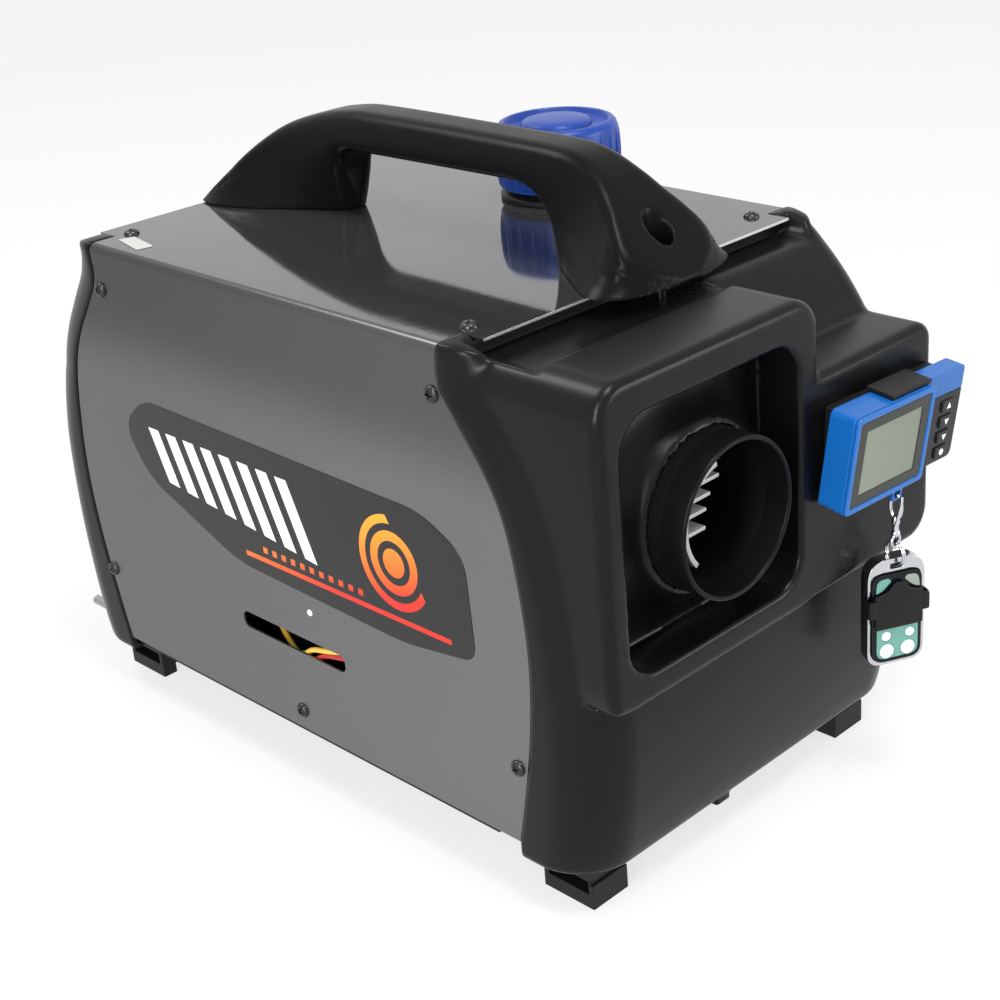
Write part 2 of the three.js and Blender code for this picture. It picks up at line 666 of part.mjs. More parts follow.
// along y: top height over the sheet, half width at the foot, half width of the crown
const HANDLE_HEIGHT = [
  [-173, 4], [-171, 6.5], [-168, 9.5], [-164, 14], [-158, 20.5], [-150, 29], [-143, 36], [-132, 45.5],
  [-119, 52.5], [-104, 55.5], [-70, 56.4], [40, 56.4], [63, 54], [82, 49.5], [98, 44], [113, 35.5],
  [128, 23.5], [142, 10], [151, 1.5],
];
const HANDLE_FOOT = [
  [-173, 12], [-171, 21], [-168, 31], [-164, 39], [-158, 44], [-150, 45], [-143, 42], [-132, 35], [-119, 26],
  [-108, 18], [-98, 13], [-60, 13], [30, 12], [58, 3], [62, 7], [70, 11.5], [82, 17.5], [98, 26], [118, 36],
  [135, 41], [151, 40],
];
const HANDLE_CROWN = [
  [-173, 9], [-168, 22], [-164, 28], [-158, 31.5], [-150, 28], [-142, 23], [-130, 18], [-115, 16], [60, 16],
  [82, 17], [98, 19.5], [113, 24], [128, 31], [142, 35], [151, 36],
];
const HANDLE_ROWS = [
  -173, -171, -168, -164, -158, -150, -143, -132, -119, -108, -98, -80, -40, 30, 58, 62, 70, 82, 98, 113, 128,
  142, 151,
];

function handleRing(y) {
  const base = CASE_TOP + GAP;
  const height = reachAt(HANDLE_HEIGHT, y);
  const low = reachAt(HANDLE_FOOT, y);
  const round = Math.min(9, height * 0.45);
  const high = reachAt(HANDLE_CROWN, y);
  const part = (share, rise) => [low + (high - low) * share, height * rise];
  const half = [
    part(0, 0), part(0.35, 0.16), part(0.68, 0.36), part(0.9, 0.6),
    [high, height - round], [high - round * 0.29, height - round * 0.29], [high - round, height],
  ];
  const right = half.map(([x, z]) => [x, y, base + z]);
  const left = half.map(([x, z]) => [-x, y, base + z]).reverse();
  return [...right, ...left];
}

function handle() {
  const body = loft(HANDLE_ROWS.map(handleRing));
  const gap = prismX(outline([
    [WINDOW_REAR, CASE_TOP - 10, 0], [WINDOW_REAR, WINDOW_TOP, 14],
    [-WINDOW_FRONT + 4, WINDOW_TOP + 1, 46], [-WINDOW_FRONT - 1, CASE_TOP - 10, 0],
  ]), -60, 60, 8);
  const recess = (y) => bar("z", HANDLE_BOLT_BORE / 2, HANDLE_BOLT_SEAT, 400, [0, y, 0], 20);
  return body.subtract(gap)
    .subtract(recess(HANDLE_BOLT_FRONT)).subtract(boltBore(HANDLE_BOLT_FRONT))
    .subtract(recess(HANDLE_BOLT_REAR)).subtract(boltBore(HANDLE_BOLT_REAR));
}

function handleBolt(y) {
  const seat = HANDLE_BOLT_SEAT + GAP;
  const shank = HANDLE_BOLT_SHANK;
  return turned([[0, seat - 22], [shank, seat - 22], [shank, seat], [5, seat], [4.6, seat + 2.6], [2, seat + 3.6],
    [0, seat + 3.6]], 20)
    .subtract(block(-0.6, 0.6, -3, 3, seat + 2.2, seat + 5).add(block(-3, 3, -0.6, 0.6, seat + 2.2, seat + 5)))
    .translate([0, y, 0]);
}

// ------------------------------------------------------------ fuel parts

const trayFace = TRAY_TOP + GAP;

function fuelTank() {
  const { left, right, front, rear, top, corner } = TANK;
  const outer = prismZ(rectangle(left, front, right, rear, corner), trayFace, top, 5);
  const inner = prismZ(rectangle(left + TANK_WALL, front + TANK_WALL, right - TANK_WALL, rear - TANK_WALL,
    corner - TANK_WALL), trayFace + TANK_WALL, top - TANK_WALL, 5);
  const neck = bar("z", NECK_DIAMETER / 2, top - 1, NECK_TOP, [FILLER_X, FILLER_Y, 0], 36);
  const bore = bar("z", NECK_BORE / 2, top - TANK_WALL - 1, NECK_TOP + 1, [FILLER_X, FILLER_Y, 0], 36);
  const spout = bar("x", NIPPLE_RADIUS, left - 9, left + 1, [0, TANK_SPOUT_Y, TANK_SPOUT_Z], 14);
  const spoutBore = bar("x", 1.6, left - 12, left + TANK_WALL + 1, [0, TANK_SPOUT_Y, TANK_SPOUT_Z], 10);
  return outer.add(neck).subtract(inner).subtract(bore).add(spout).subtract(spoutBore);
}

const TANK_SPOUT_Y = 96;
const TANK_SPOUT_Z = 50;
const NIPPLE_RADIUS = 3;
const HOSE_BORE = NIPPLE_RADIUS + 2 * GAP;
const HOSE_RADIUS = HOSE_BORE + 1.2;

// flanged collar nut that holds the neck in the top sheet
function fillerCollar() {
  const low = CASE_TOP + GAP;
  return turned([
    [NECK_DIAMETER / 2 + GAP, low], [FUEL_CAP_RADIUS - 2, low], [FUEL_CAP_RADIUS - 2, low + 2.5],
    [NECK_DIAMETER / 2 + 4, low + 5.4], [NECK_DIAMETER / 2 + GAP, low + 5.4],
    [NECK_DIAMETER / 2 + GAP, low],
  ], 36).translate([FILLER_X, FILLER_Y, 0]);
}

function capSeal() {
  const low = NECK_TOP + GAP;
  return turned([
    [NECK_BORE / 2, low], [NECK_DIAMETER / 2 + 1, low], [NECK_DIAMETER / 2 + 1, low + 2.5],
    [NECK_BORE / 2, low + 2.5], [NECK_BORE / 2, low],
  ], 32).translate([FILLER_X, FILLER_Y, 0]);
}

// screw cap: ribbed skirt, stepped top with a raised disc
function fuelCap() {
  const top = FUEL_CAP_TOP;
  const low = top - FUEL_CAP_HEIGHT;
  const ceiling = NECK_TOP + 2.5 + 2 * GAP;
  const inner = NECK_DIAMETER / 2 + 2;
  const skirt = turned([
    [inner, low], [FUEL_CAP_RADIUS - 1.4, low], [FUEL_CAP_RADIUS - 1.4, top - 4],
    [FUEL_CAP_RADIUS - 4, top - 1.2], [FUEL_CAP_RADIUS - 6, top - 1.2], [FUEL_CAP_RADIUS - 7, top - 4.5],
    [19, top - 4.5], [17.5, top - 1], [0, top], [0, ceiling], [inner, ceiling], [inner, low],
  ], 36);
  let cap = skirt;
  for (let i = 0; i < FUEL_CAP_RIBS; i++) {
    const rib = block(FUEL_CAP_RADIUS - 3, FUEL_CAP_RADIUS, -1.5, 1.5, low + 2, top - 4.4)
      .rotate([0, 0, (i / FUEL_CAP_RIBS) * 360]);
    cap = cap.add(rib);
  }
  return cap.translate([FILLER_X, FILLER_Y, 0]);
}

function fuelPump() {
  const half = PUMP_LENGTH / 2;
  const centre = [PUMP_X, PUMP_Y, PUMP_Z];
  return bar("y", PUMP_DIAMETER / 2, -half + 14, half - 12, centre, 28)
    .add(bar("y", 7, -half + 6, -half + 15, centre, 20))
    .add(bar("y", 8.5, half - 13, half - 5, centre, 6))
    .add(bar("y", 3, -half, -half + 7, centre, 14))
    .add(bar("y", 3, half - 6, half, centre, 14))
    .add(block(-6, 6, -half + 16, -half + 30, PUMP_DIAMETER / 2 - 2, PUMP_DIAMETER / 2 + 8).translate(centre));
}

function pumpClamp() {
  const centre = [PUMP_X, PUMP_Y, PUMP_Z];
  const ring = bar("y", PUMP_DIAMETER / 2 + 4, -7, 9, centre, 28);
  const post = block(PUMP_X - 6, PUMP_X + 6, PUMP_Y - 7, PUMP_Y + 9, trayFace, PUMP_Z - 10);
  const pad = block(PUMP_X - 16, PUMP_X + 16, PUMP_Y - 7, PUMP_Y + 9, trayFace, trayFace + 3);
  return ring.add(post).add(pad).subtract(bar("y", PUMP_DIAMETER / 2 + GAP, -12, 12, centre, 28));
}

const FILTER_PLACE = [-14, TANK_SPOUT_Y, TANK_SPOUT_Z];

function fuelFilter() {
  const [x, y, z] = FILTER_PLACE;
  return bar("x", 10, -16, 16, [x, y, z], 20)
    .add(bar("x", 3, -25, -15, [x, y, z], 12))
    .add(bar("x", 3, 15, 25, [x, y, z], 12))
    .add(block(x - 5, x + 5, y - 5, y + 5, trayFace, z - 8));
}

// hose pushed over the nipples at both of its ends
const hose = (points, steps) => tube(points, HOSE_RADIUS, steps).subtract(tube(
  points.map((point, i) => (i === 0 || i === points.length - 1 ? stretch(points, i) : point)),
  HOSE_BORE, steps, 8));

// end point of a route moved out by a millimetre, so that a bore breaks through
function stretch(points, i) {
  const end = new THREE.Vector3(...points[i]);
  const next = new THREE.Vector3(...points[i === 0 ? 1 : i - 1]);
  return end.add(end.clone().sub(next).setLength(1)).toArray();
}

function hoses() {
  const [x, y, z] = FILTER_PLACE;
  const pumpEnd = PUMP_Y + PUMP_LENGTH / 2;
  const pumpStart = PUMP_Y - PUMP_LENGTH / 2;
  return {
    tank: hose([[TANK.left - GAP, y, z], [TANK.left - 6, y, z], [x + 22, y, z], [x + 16 + GAP, y, z]], 3),
    filter: hose([
      [x - 16 - GAP, y, z], [x - 22, y, z], [x - 30, y, z], [x - 42, y + 16, z + 2], [x - 46, y + 48, z + 8],
      [PUMP_X + 12, pumpEnd + 24, PUMP_Z], [PUMP_X, pumpEnd + 12, PUMP_Z], [PUMP_X, pumpEnd + 2, PUMP_Z],
      [PUMP_X, pumpEnd - 5 + GAP, PUMP_Z],
    ], 20),
    burner: tube([
      [PUMP_X, pumpStart - GAP, PUMP_Z], [PUMP_X, pumpStart - 4, PUMP_Z], [PUMP_X - 11, pumpStart - 16, PUMP_Z + 4],
      [PUMP_X - 12, 24, 80], [PUMP_X - 6, 2, 108], [PUMP_X, -8, 126], [PUMP_X, -8, OUTLET_Z - UNIT_HALF_HEIGHT - GAP],
    ], 2.4, 16, 8),
  };
}

// leads that lie behind the side slot, from the pump's plug to the underside of the unit
function leads() {
  const plug = PUMP_Y - PUMP_LENGTH / 2 + 23;
  const from = PUMP_Z + PUMP_DIAMETER / 2 + 8 + GAP;
  const to = OUTLET_Z - UNIT_HALF_HEIGHT - GAP;
  return {
    yellow: tube([
      [PUMP_X + 3, plug, from], [PUMP_X + 3, plug, from + 3], [PUMP_X, plug - 5, from + 8], [-104, 50, 94], [-114, 14, 90], [-116, -24, 88],
      [-115, -42, 85], [-106, -66, 92], [-94, -84, 116], [-93, -88, to],
    ], 1.5, 26, 6),
    red: tube([
      [PUMP_X - 3, plug, from], [PUMP_X - 3, plug, from + 2.5], [PUMP_X - 7, plug - 4, from + 5], [-108, 44, 84], [-115, 10, 80], [-117, -30, 81],
      [-115, -54, 78], [-104, -78, 88], [-92, -96, 114], [-91, -100, to],
    ], 1.5, 26, 6),
  };
}

// ----------------------------------------------------------- heater unit

function unitShell(side) {
  const outer = slabY(boxCorners(OUTLET_X - UNIT_HALF_WIDTH, OUTLET_Z - UNIT_HALF_HEIGHT,
    OUTLET_X + UNIT_HALF_WIDTH, OUTLET_Z + UNIT_HALF_HEIGHT, UNIT_CORNER), UNIT_FRONT, UNIT_REAR, 5);
  const inner = slabY(boxCorners(OUTLET_X - UNIT_HALF_WIDTH + UNIT_WALL, OUTLET_Z - UNIT_HALF_HEIGHT + UNIT_WALL,
    OUTLET_X + UNIT_HALF_WIDTH - UNIT_WALL, OUTLET_Z + UNIT_HALF_HEIGHT - UNIT_WALL, UNIT_CORNER - UNIT_WALL),
    UNIT_FRONT + UNIT_WALL, UNIT_REAR + 5, 5);
  const bore = bar("y", OUTLET_DIAMETER / 2 + GAP, UNIT_FRONT - 5, UNIT_FRONT + 20, [OUTLET_X, 0, OUTLET_Z], 40);
  let shell = outer.subtract(inner).subtract(bore);
  for (const [x, y] of PIPE_PLACES) {
    shell = shell.subtract(bar("z", PIPE_DIAMETER / 2 + GAP, 60, OUTLET_Z, [x, y, 0], 24));
  }
  const cut = side > 0
    ? block(-200, 200, -250, 250, OUTLET_Z + GAP / 2, 400)
    : block(-200, 200, -250, 250, 0, OUTLET_Z - GAP / 2);
  return shell.intersect(cut);
}

// saddles that carry the unit on the tray
function unitBracket() {
  const low = trayFace;
  const high = OUTLET_Z - UNIT_HALF_HEIGHT - GAP;
  const [x0, x1] = [OUTLET_X - 32, OUTLET_X + 42];
  const post = (y) => block(x0, x1, y - 12, y + 12, low, low + 2)
    .add(block(x0, x0 + 2, y - 12, y + 12, low, high))
    .add(block(x1 - 2, x1, y - 12, y + 12, low, high))
    .add(block(x0, x1, y - 12, y + 12, high - 2, high));
  return { front: post(-120), rear: post(36) };
}

// cast heat exchanger: domed nose, long radial fins, burner bore and two ports
function heatExchanger() {
  const length = CORE_REAR - CORE_FRONT;
  const core = turned([
    [0, 0], [CORE_RADIUS * 0.55, 1.5], [CORE_RADIUS * 0.86, 6], [CORE_RADIUS, 14], [CORE_RADIUS, length],
    [0, length],
  ], 32).rotate([-90, 0, 0]).translate([OUTLET_X, CORE_FRONT, OUTLET_Z]);
  let body = core;
  for (let i = 0; i < FIN_COUNT; i++) {
    const angle = (i / FIN_COUNT) * 360;
    const fin = block(-FIN_THICK / 2, FIN_THICK / 2, CORE_FRONT + 5, CORE_REAR - 8, CORE_RADIUS - 2, FIN_REACH)
      .rotate([0, angle, 0]).translate([OUTLET_X, 0, OUTLET_Z]);
    body = body.add(fin);
  }
  const flange = bar("y", FIN_REACH, CORE_REAR - 6, CORE_REAR, [OUTLET_X, 0, OUTLET_Z], 36);
  const seatZ = OUTLET_Z - UNIT_HALF_HEIGHT + UNIT_WALL + GAP;
  const seat = block(OUTLET_X - 5, OUTLET_X + 5, CORE_REAR - 6, CORE_REAR, seatZ, OUTLET_Z - FIN_REACH + 6);
  const port = bar("z", PIPE_DIAMETER / 2 + 3, OUTLET_Z - UNIT_HALF_HEIGHT + UNIT_WALL + 6, OUTLET_Z - CORE_RADIUS + 4,
    [...EXHAUST_PLACE, 0], 20);
  const bore = bar("y", BURNER_RADIUS + 2, CORE_FRONT + 20, CORE_REAR + 5, [OUTLET_X, 0, OUTLET_Z], 28);
  return body.add(flange).add(seat).add(port).subtract(bore);
}

function burnerTube() {
  const centre = [OUTLET_X, 0, OUTLET_Z];
  return bar("y", BURNER_RADIUS, CORE_FRONT + 40, CORE_REAR + GAP + 2, centre, 28)
    .add(bar("y", FIN_REACH - 4, CORE_REAR + GAP, CORE_REAR + GAP + 3, centre, 32))
    .subtract(bar("y", BURNER_RADIUS - 2, CORE_FRONT + 30, CORE_REAR - 4, centre, 28));
}

function glowPlug() {
  const y = CORE_REAR + 12;
  return bar("z", 4, OUTLET_Z + IMPELLER_RADIUS + 6, OUTLET_Z + UNIT_HALF_HEIGHT - UNIT_WALL - GAP, [OUTLET_X, y, 0], 14)
    .add(bar("z", 7, OUTLET_Z + 42, OUTLET_Z + 48, [OUTLET_X, y, 0], 6));
}

// volute that holds the combustion impeller, open towards the motor
function combustionHousing() {
  const centre = [OUTLET_X, 0, OUTLET_Z];
  const front = CORE_REAR + 2 * GAP + 3;
  return bar("y", FIN_REACH - 2, front, MOTOR_FRONT - GAP, centre, 36)
    .subtract(bar("y", IMPELLER_RADIUS + 3, front + 3, MOTOR_FRONT + 5, centre, 36))
    .subtract(bar("z", 7 + GAP, OUTLET_Z + IMPELLER_RADIUS + 5, 300, [OUTLET_X, CORE_REAR + 12, 0], 16));
}

function blowerMotor() {
  const centre = [OUTLET_X, 0, OUTLET_Z];
  const seatZ = OUTLET_Z - UNIT_HALF_HEIGHT + UNIT_WALL + GAP;
  return bar("y", FIN_REACH - 2, MOTOR_FRONT, MOTOR_FRONT + 3, centre, 36)
    .add(bar("y", MOTOR_RADIUS, MOTOR_FRONT, MOTOR_REAR, centre, 32))
    .add(bar("y", 10, MOTOR_REAR - 1, MOTOR_REAR + 4, centre, 20))
    .add(block(OUTLET_X - 6, OUTLET_X + 6, MOTOR_FRONT, MOTOR_FRONT + 24, seatZ, OUTLET_Z - MOTOR_RADIUS + 4))
    .subtract(bar("y", SHAFT_RADIUS + GAP, MOTOR_FRONT - 5, MOTOR_REAR + 10, centre, 20));
}

function motorShaft() {
  return bar("y", SHAFT_RADIUS, IMPELLER_FRONT - 2, FAN_REAR + 3, [OUTLET_X, 0, OUTLET_Z], 20);
}

const IMPELLER_FRONT = CORE_REAR + 10;

// axial fan wheel with twisted blades
function fanWheel() {
  const depth = FAN_REAR - FAN_FRONT;
  let wheel = bar("y", 15, FAN_FRONT, FAN_REAR, [0, 0, 0], 28, 13);
  for (let i = 0; i < FAN_BLADES; i++) {
    const rows = heights(12, FAN_RADIUS, 4).map((radius) => {
      const twist = 0.95 - 0.4 * ((radius - 12) / (FAN_RADIUS - 12));
      const [run, rise] = [depth * 0.46 * Math.cos(twist), depth * 0.46 * Math.sin(twist)];
      const middle = (FAN_FRONT + FAN_REAR) / 2;
      return [
        [-rise, middle - run, radius], [-rise + 1.8, middle - run + 0.6, radius],
        [rise, middle + run, radius], [rise - 1.8, middle + run - 0.6, radius],
      ];
    });
    wheel = wheel.add(loft(rows).rotate([0, (i / FAN_BLADES) * 360, 0]));
  }
  return wheel.subtract(bar("y", SHAFT_RADIUS + GAP, 0, 200, [0, 0, 0], 20))
    .translate([OUTLET_X, 0, OUTLET_Z]);
}

// radial combustion-air impeller
function impeller() {
  const [front, rear] = [IMPELLER_FRONT, IMPELLER_FRONT + 14];
  let wheel = bar("y", IMPELLER_RADIUS, rear - 2, rear, [0, 0, 0], 32)
    .add(bar("y", 9, front, rear, [0, 0, 0], 20));
  for (let i = 0; i < IMPELLER_BLADES; i++) {
    const blade = block(-0.8, 0.8, front, rear - 1, 8, IMPELLER_RADIUS - 1).rotate([0, 18, 0])
      .translate([3, 0, 0]).rotate([0, (i / IMPELLER_BLADES) * 360, 0]);
    wheel = wheel.add(blade.intersect(bar("y", IMPELLER_RADIUS, front, rear, [0, 0, 0], 32)));
  }
  return wheel.subtract(bar("y", SHAFT_RADIUS + GAP, -60, 60, [0, 0, 0], 20)).translate([OUTLET_X, 0, OUTLET_Z]);
}

function controlUnit() {
  const high = OUTLET_Z + UNIT_HALF_HEIGHT - UNIT_WALL - GAP;
  return block(OUTLET_X - 30, OUTLET_X + 30, 16, 66, high - 18, high);
}

function outletCollar() {
  const centre = [OUTLET_X, 0, OUTLET_Z];
  const radius = OUTLET_DIAMETER / 2;
  const front = -OUTLET_FRONT;
  return bar("y", radius, front, UNIT_FRONT + 1.5, centre, 44)
    .subtract(bar("y", radius - OUTLET_WALL, front - 5, UNIT_FRONT + 5, centre, 44));
}

function pipe([x, y], top, bottom, wall = 1.2) {
  return bar("z", PIPE_DIAMETER / 2, bottom, top, [x, y, 0], 24)
    .subtract(bar("z", PIPE_DIAMETER / 2 - wall, bottom - 5, top + 5, [x, y, 0], 24));
}

// ------------------------------------------------------------ controller

// the group stands on the wing's front face; its own frame has the face at y = 0
const control = new THREE.Group();
control.position.set(CONTROL_LEFT, -BOX_FRONT - GAP, CONTROL_MID_Z);
control.rotation.set(CONTROL_TILT, CONTROL_LEAN, 0, "YXZ");
const wedge = Math.sin(CONTROL_TILT) * (CONTROL_HEIGHT / 2);
const bracketDepth = 2 * wedge + 2;

function controlBracket() {
  const half = CONTROL_HEIGHT / 2;
  const plate = prismX(outline([
    [-bracketDepth / 2 - 0.2, -half + 3], [-bracketDepth / 2 - 0.2, half - 3],
    [Math.tan(CONTROL_TILT) * (half - 3), half - 3], [Math.tan(CONTROL_TILT) * -(half - 3), -half + 3],
  ]), 6, CONTROL_WIDTH - 8);
  const back = -bracketDepth / 2 - 0.2;
  const front = back - CONTROL_DEPTH - 4;
  const clip = block(30, 62, front, back + 1, half + GAP, half + 2.6)
    .add(block(30, 62, back, back + 2, half - 6, half + 2.6));
  return plate.add(clip);
}

function controlCase() {
  const half = CONTROL_HEIGHT / 2;
  const back = -bracketDepth / 2 - 0.2 - GAP;
  const front = back - CONTROL_DEPTH;
  const body = slabY(boxCorners(0, -half, CONTROL_WIDTH, half, 4), front, back, 4);
  const screen = slabY(boxCorners(0, -half, SCREEN_WIDTH, half, 3), front - SCREEN_DEPTH, front + 1, 4);
  const recess = slabY(boxCorners(3, -half + 3, SCREEN_WIDTH - 3, half - 3, 1.5),
    front - SCREEN_DEPTH - 1, front - SCREEN_DEPTH + 2, 3);
  const panel = block(SCREEN_WIDTH + 1.2, CONTROL_WIDTH + 1, front - 1, front + PANEL_THICK + GAP, -half - 1, PANEL_TOP + GAP);
  const eye = block(-EYE_HALF, EYE_HALF, -0.7, 0.7, -3.8, EYE_DROP + 1)
    .subtract(bar("y", EYE_RADIUS, -3, 3, [0, 0, 0], 16)).translate(EYE_PLACE);
  return body.add(screen).subtract(recess).subtract(panel).add(eye);
}

const PANEL_TOP = CONTROL_HEIGHT / 2 - 13;
const PANEL_THICK = 5;

// eye under the case that the clasp hooks into, in the controller's frame
const EYE_HALF = 4;
const EYE_RADIUS = 2.5;
const EYE_DROP = 4;
const EYE_PLACE = [FOB_X - CONTROL_LEFT, FOB_Y + BOX_FRONT + GAP, -CONTROL_HEIGHT / 2 - EYE_DROP];

const controlFront = -bracketDepth / 2 - 0.2 - GAP - CONTROL_DEPTH;
const screenFront = controlFront - SCREEN_DEPTH;

function screenBezel() {
  const half = CONTROL_HEIGHT / 2 - 3 - GAP;
  return slabY(boxCorners(3 + GAP, -half, SCREEN_WIDTH - 3 - GAP, half, 1.2), screenFront - 0.4, screenFront + 1.7, 3)
    .subtract(slabY(boxCorners(9, -half + 5, SCREEN_WIDTH - 9, half - 5, 0.8), screenFront - 1, screenFront + 0.6, 3));
}

function screenGlass() {
  const half = CONTROL_HEIGHT / 2 - 3 - GAP;
  return slabY(boxCorners(9 + GAP, -half + 5 + GAP, SCREEN_WIDTH - 9 - GAP, half - 5 - GAP, 0.8),
    screenFront - 0.2, screenFront + 0.3, 3);
}

const BUTTON_X = SCREEN_WIDTH + 23;
const BUTTON_STEP = 8.4;
const BUTTON_WIDTH = 10;
const BUTTON_HEIGHT = 5.8;
const BUTTON_DEPTH = 3;
const buttonZ = (i) => PANEL_TOP - 6.5 - i * BUTTON_STEP;
const buttonCorners = (i, grow) => boxCorners(BUTTON_X - BUTTON_WIDTH / 2 - grow, buttonZ(i) - BUTTON_HEIGHT / 2 - grow,
  BUTTON_X + BUTTON_WIDTH / 2 + grow, buttonZ(i) + BUTTON_HEIGHT / 2 + grow, 1.4);

// keypad insert that fills the case's lower right front
function buttonPanel() {
  const low = -CONTROL_HEIGHT / 2;
  let panel = slabY([
    [SCREEN_WIDTH + 1.2 + GAP, low, 0.6], [CONTROL_WIDTH, low, 4], [CONTROL_WIDTH, PANEL_TOP, 0.6],
    [SCREEN_WIDTH + 1.2 + GAP, PANEL_TOP, 0.6],
  ], controlFront, controlFront + PANEL_THICK, 4);
  for (let i = 0; i < CONTROL_BUTTONS; i++) {
    panel = panel.subtract(slabY(buttonCorners(i, GAP), controlFront - 1, controlFront + BUTTON_DEPTH + 0.9, 3));
  }
  return panel;
}

function controlButton(i) {
  return slabY(buttonCorners(i, 0), controlFront - 1.2, controlFront + BUTTON_DEPTH - 0.2, 3);
}

// -------------------------------------------------------------- key fob

// clasp and ring hang from the eye under the controller; drawn about the eye's hole
const clasp = new THREE.Group();
control.updateMatrixWorld(true);
clasp.position.copy(control.localToWorld(new THREE.Vector3(...EYE_PLACE)));

// hook that passes through the eye, its stem, swivel ball and lower ring
function claspHook() {
  const wire = 0.85;
  const top = wire - EYE_RADIUS + 3 * GAP;
  const points = heights(-0.6, Math.PI * 2 - 1.15, 12).map((angle) =>
    [0, 3.2 * Math.sin(angle), top - 6.4 + 6.4 * Math.cos(angle)]);
  const stem = bar("z", 1.5, -21, -12.4, [0, 0, 0], 10);
  const swivel = solid(new THREE.SphereGeometry(2.3, 10, 6)).translate([0, 0, -21.5]);
  const ring = new THREE.TorusGeometry(3.2, wire, 5, 12);
  ring.rotateX(Math.PI / 2);
  return tube(points, wire, 14, 6).add(stem).add(swivel).add(solid(ring).translate([0, 0, CLASP_RING_Z]));
}

const CLASP_RING_Z = -25.6;

// split ring that joins the clasp's ring and the fob's slot
function fobLink() {
  const ring = new THREE.TorusGeometry(LINK_RADIUS, 0.8, 6, 18);
  ring.rotateY(Math.PI / 2);
  ring.rotateZ(-FOB_TURN / 2);
  return solid(ring).translate([0, 0, CLASP_RING_Z - LINK_RADIUS - 0.6]);
}

const LINK_RADIUS = 6.2;

// fob: drawn flat in (x, z) with its face towards -y, then turned
const fob = new THREE.Group();
fob.position.copy(clasp.position);
fob.position.z += CLASP_RING_Z - 2 * LINK_RADIUS - FOB_HEIGHT / 2 + 3.6;
fob.position.add(new THREE.Vector3(0, 1, 0).applyAxisAngle(UP, -FOB_TURN));
fob.rotation.z = -FOB_TURN;

const fobCorners = (inset, round) => {
  const [w, h] = [FOB_WIDTH / 2 - inset, FOB_HEIGHT / 2 - inset];
  return [[-w, -h, round], [w, -h, round], [w, h, round + 3], [-w, h, round + 3]];
};

function fobFrame() {
  const half = FOB_THICK / 2;
  const hole = slabY(boxCorners(-3.5, FOB_HEIGHT / 2 - 5.6, 3.5, FOB_HEIGHT / 2 - 2.6, 1), -20, 20, 3);
  return slabY(fobCorners(0, 8), -half + 2.5, half, 5)
    .subtract(slabY(fobCorners(2, 7), -half, half - 2, 5).intersect(block(-30, 30, -30, 30, -40, FOB_HEIGHT / 2 - 7.5)))
    .subtract(hole).subtract(block(-30, 30, 0.5, 20, FOB_HEIGHT / 2 - 7, 60));
}

const fobFace = -FOB_THICK / 2 + 1;

function fobCase() {
  const half = FOB_THICK / 2;
  const top = FOB_HEIGHT / 2 - 7.5 - GAP;
  let body = slabY(fobCorners(2 + GAP, 6.5), fobFace, half - 2 - GAP, 5).intersect(block(-30, 30, -30, 30, -40, top));
  for (const [x, z, radius] of FOB_BUTTONS) {
    body = body.subtract(bar("y", radius + GAP, fobFace - 2, fobFace + 3, [x, 0, z], 20));
  }
  return body;
}

const FOB_BUTTONS = [[-6, -12.5, 2.6], [7, -12.5, 2.6], [-5.6, -21, 3.9], [6, -21, 3.9]];

function fobButton([x, z, radius]) {
  return bar("y", radius, fobFace - 0.7, fobFace + 1.6, [x, 0, z], 20);
}

// sliding cover over the middle of the fob, with edges that wrap its sides
function fobSlider() {
  const high = FOB_HEIGHT / 2 - 17;
  const low = -7;
  const half = FOB_THICK / 2;
  const w = FOB_WIDTH / 2;
  const plate = slabY(boxCorners(-w + 3.5, low, w - 3.5, high, 2), fobFace - 2.6, fobFace - 1, 3);
  const side = w + 1.6;
  const ears = slabY(boxCorners(-side, low + 6, side, high - 2, 2), fobFace - 2.6, fobFace - 1, 3);
  const grip = (x0, x1) => block(x0, x1, fobFace - 1.4, half - 3, low + 6, high - 2);
  return plate.add(ears).add(grip(-side, -w - GAP)).add(grip(w + GAP, side));
}

// ------------------------------------------------------------ everything

add("cover_sheet", coverSheet(), GREY_SHEET);
add("front_cap", frontCap(), BLACK_PLASTIC);
add("rear_cap", rearCap(), BLACK_PLASTIC);
add("intake_grille", intakeGrille(), DARK_PLASTIC);
add("power_gland", powerGland(), DARK_PLASTIC);
add("drain_tube", drainTube(), STEEL);
add("base_tray", baseTray(), DARK_PLASTIC);
add("foot_front_left", foot(-1, -1), DARK_PLASTIC);
add("foot_front_right", foot(1, -1), DARK_PLASTIC);
add("foot_rear_left", foot(-1, 1), DARK_PLASTIC);
add("foot_rear_right", foot(1, 1), DARK_PLASTIC);
add("handle", handle(), BLACK_PLASTIC);
add("handle_bolt_front", handleBolt(HANDLE_BOLT_FRONT), STEEL);
add("handle_bolt_rear", handleBolt(HANDLE_BOLT_REAR), STEEL);

add("fuel_tank", fuelTank(), TANK_PLASTIC);
add("filler_collar", fillerCollar(), DARK_PLASTIC);
add("cap_seal", capSeal(), RUBBER);
add("fuel_cap", fuelCap(), CAP_BLUE);
add("fuel_filter", fuelFilter(), TANK_PLASTIC);
add("fuel_pump", fuelPump(), STEEL);
add("pump_clamp", pumpClamp(), RUBBER);

const fuelLines = hoses();
add("fuel_hose_tank", fuelLines.tank, GREEN_HOSE);
add("fuel_hose_pump", fuelLines.filter, GREEN_HOSE);
add("fuel_line_burner", fuelLines.burner, GREEN_HOSE);
const wiring = leads();
add("lead_yellow", wiring.yellow, YELLOW_WIRE);
add("lead_red", wiring.red, RED_WIRE);

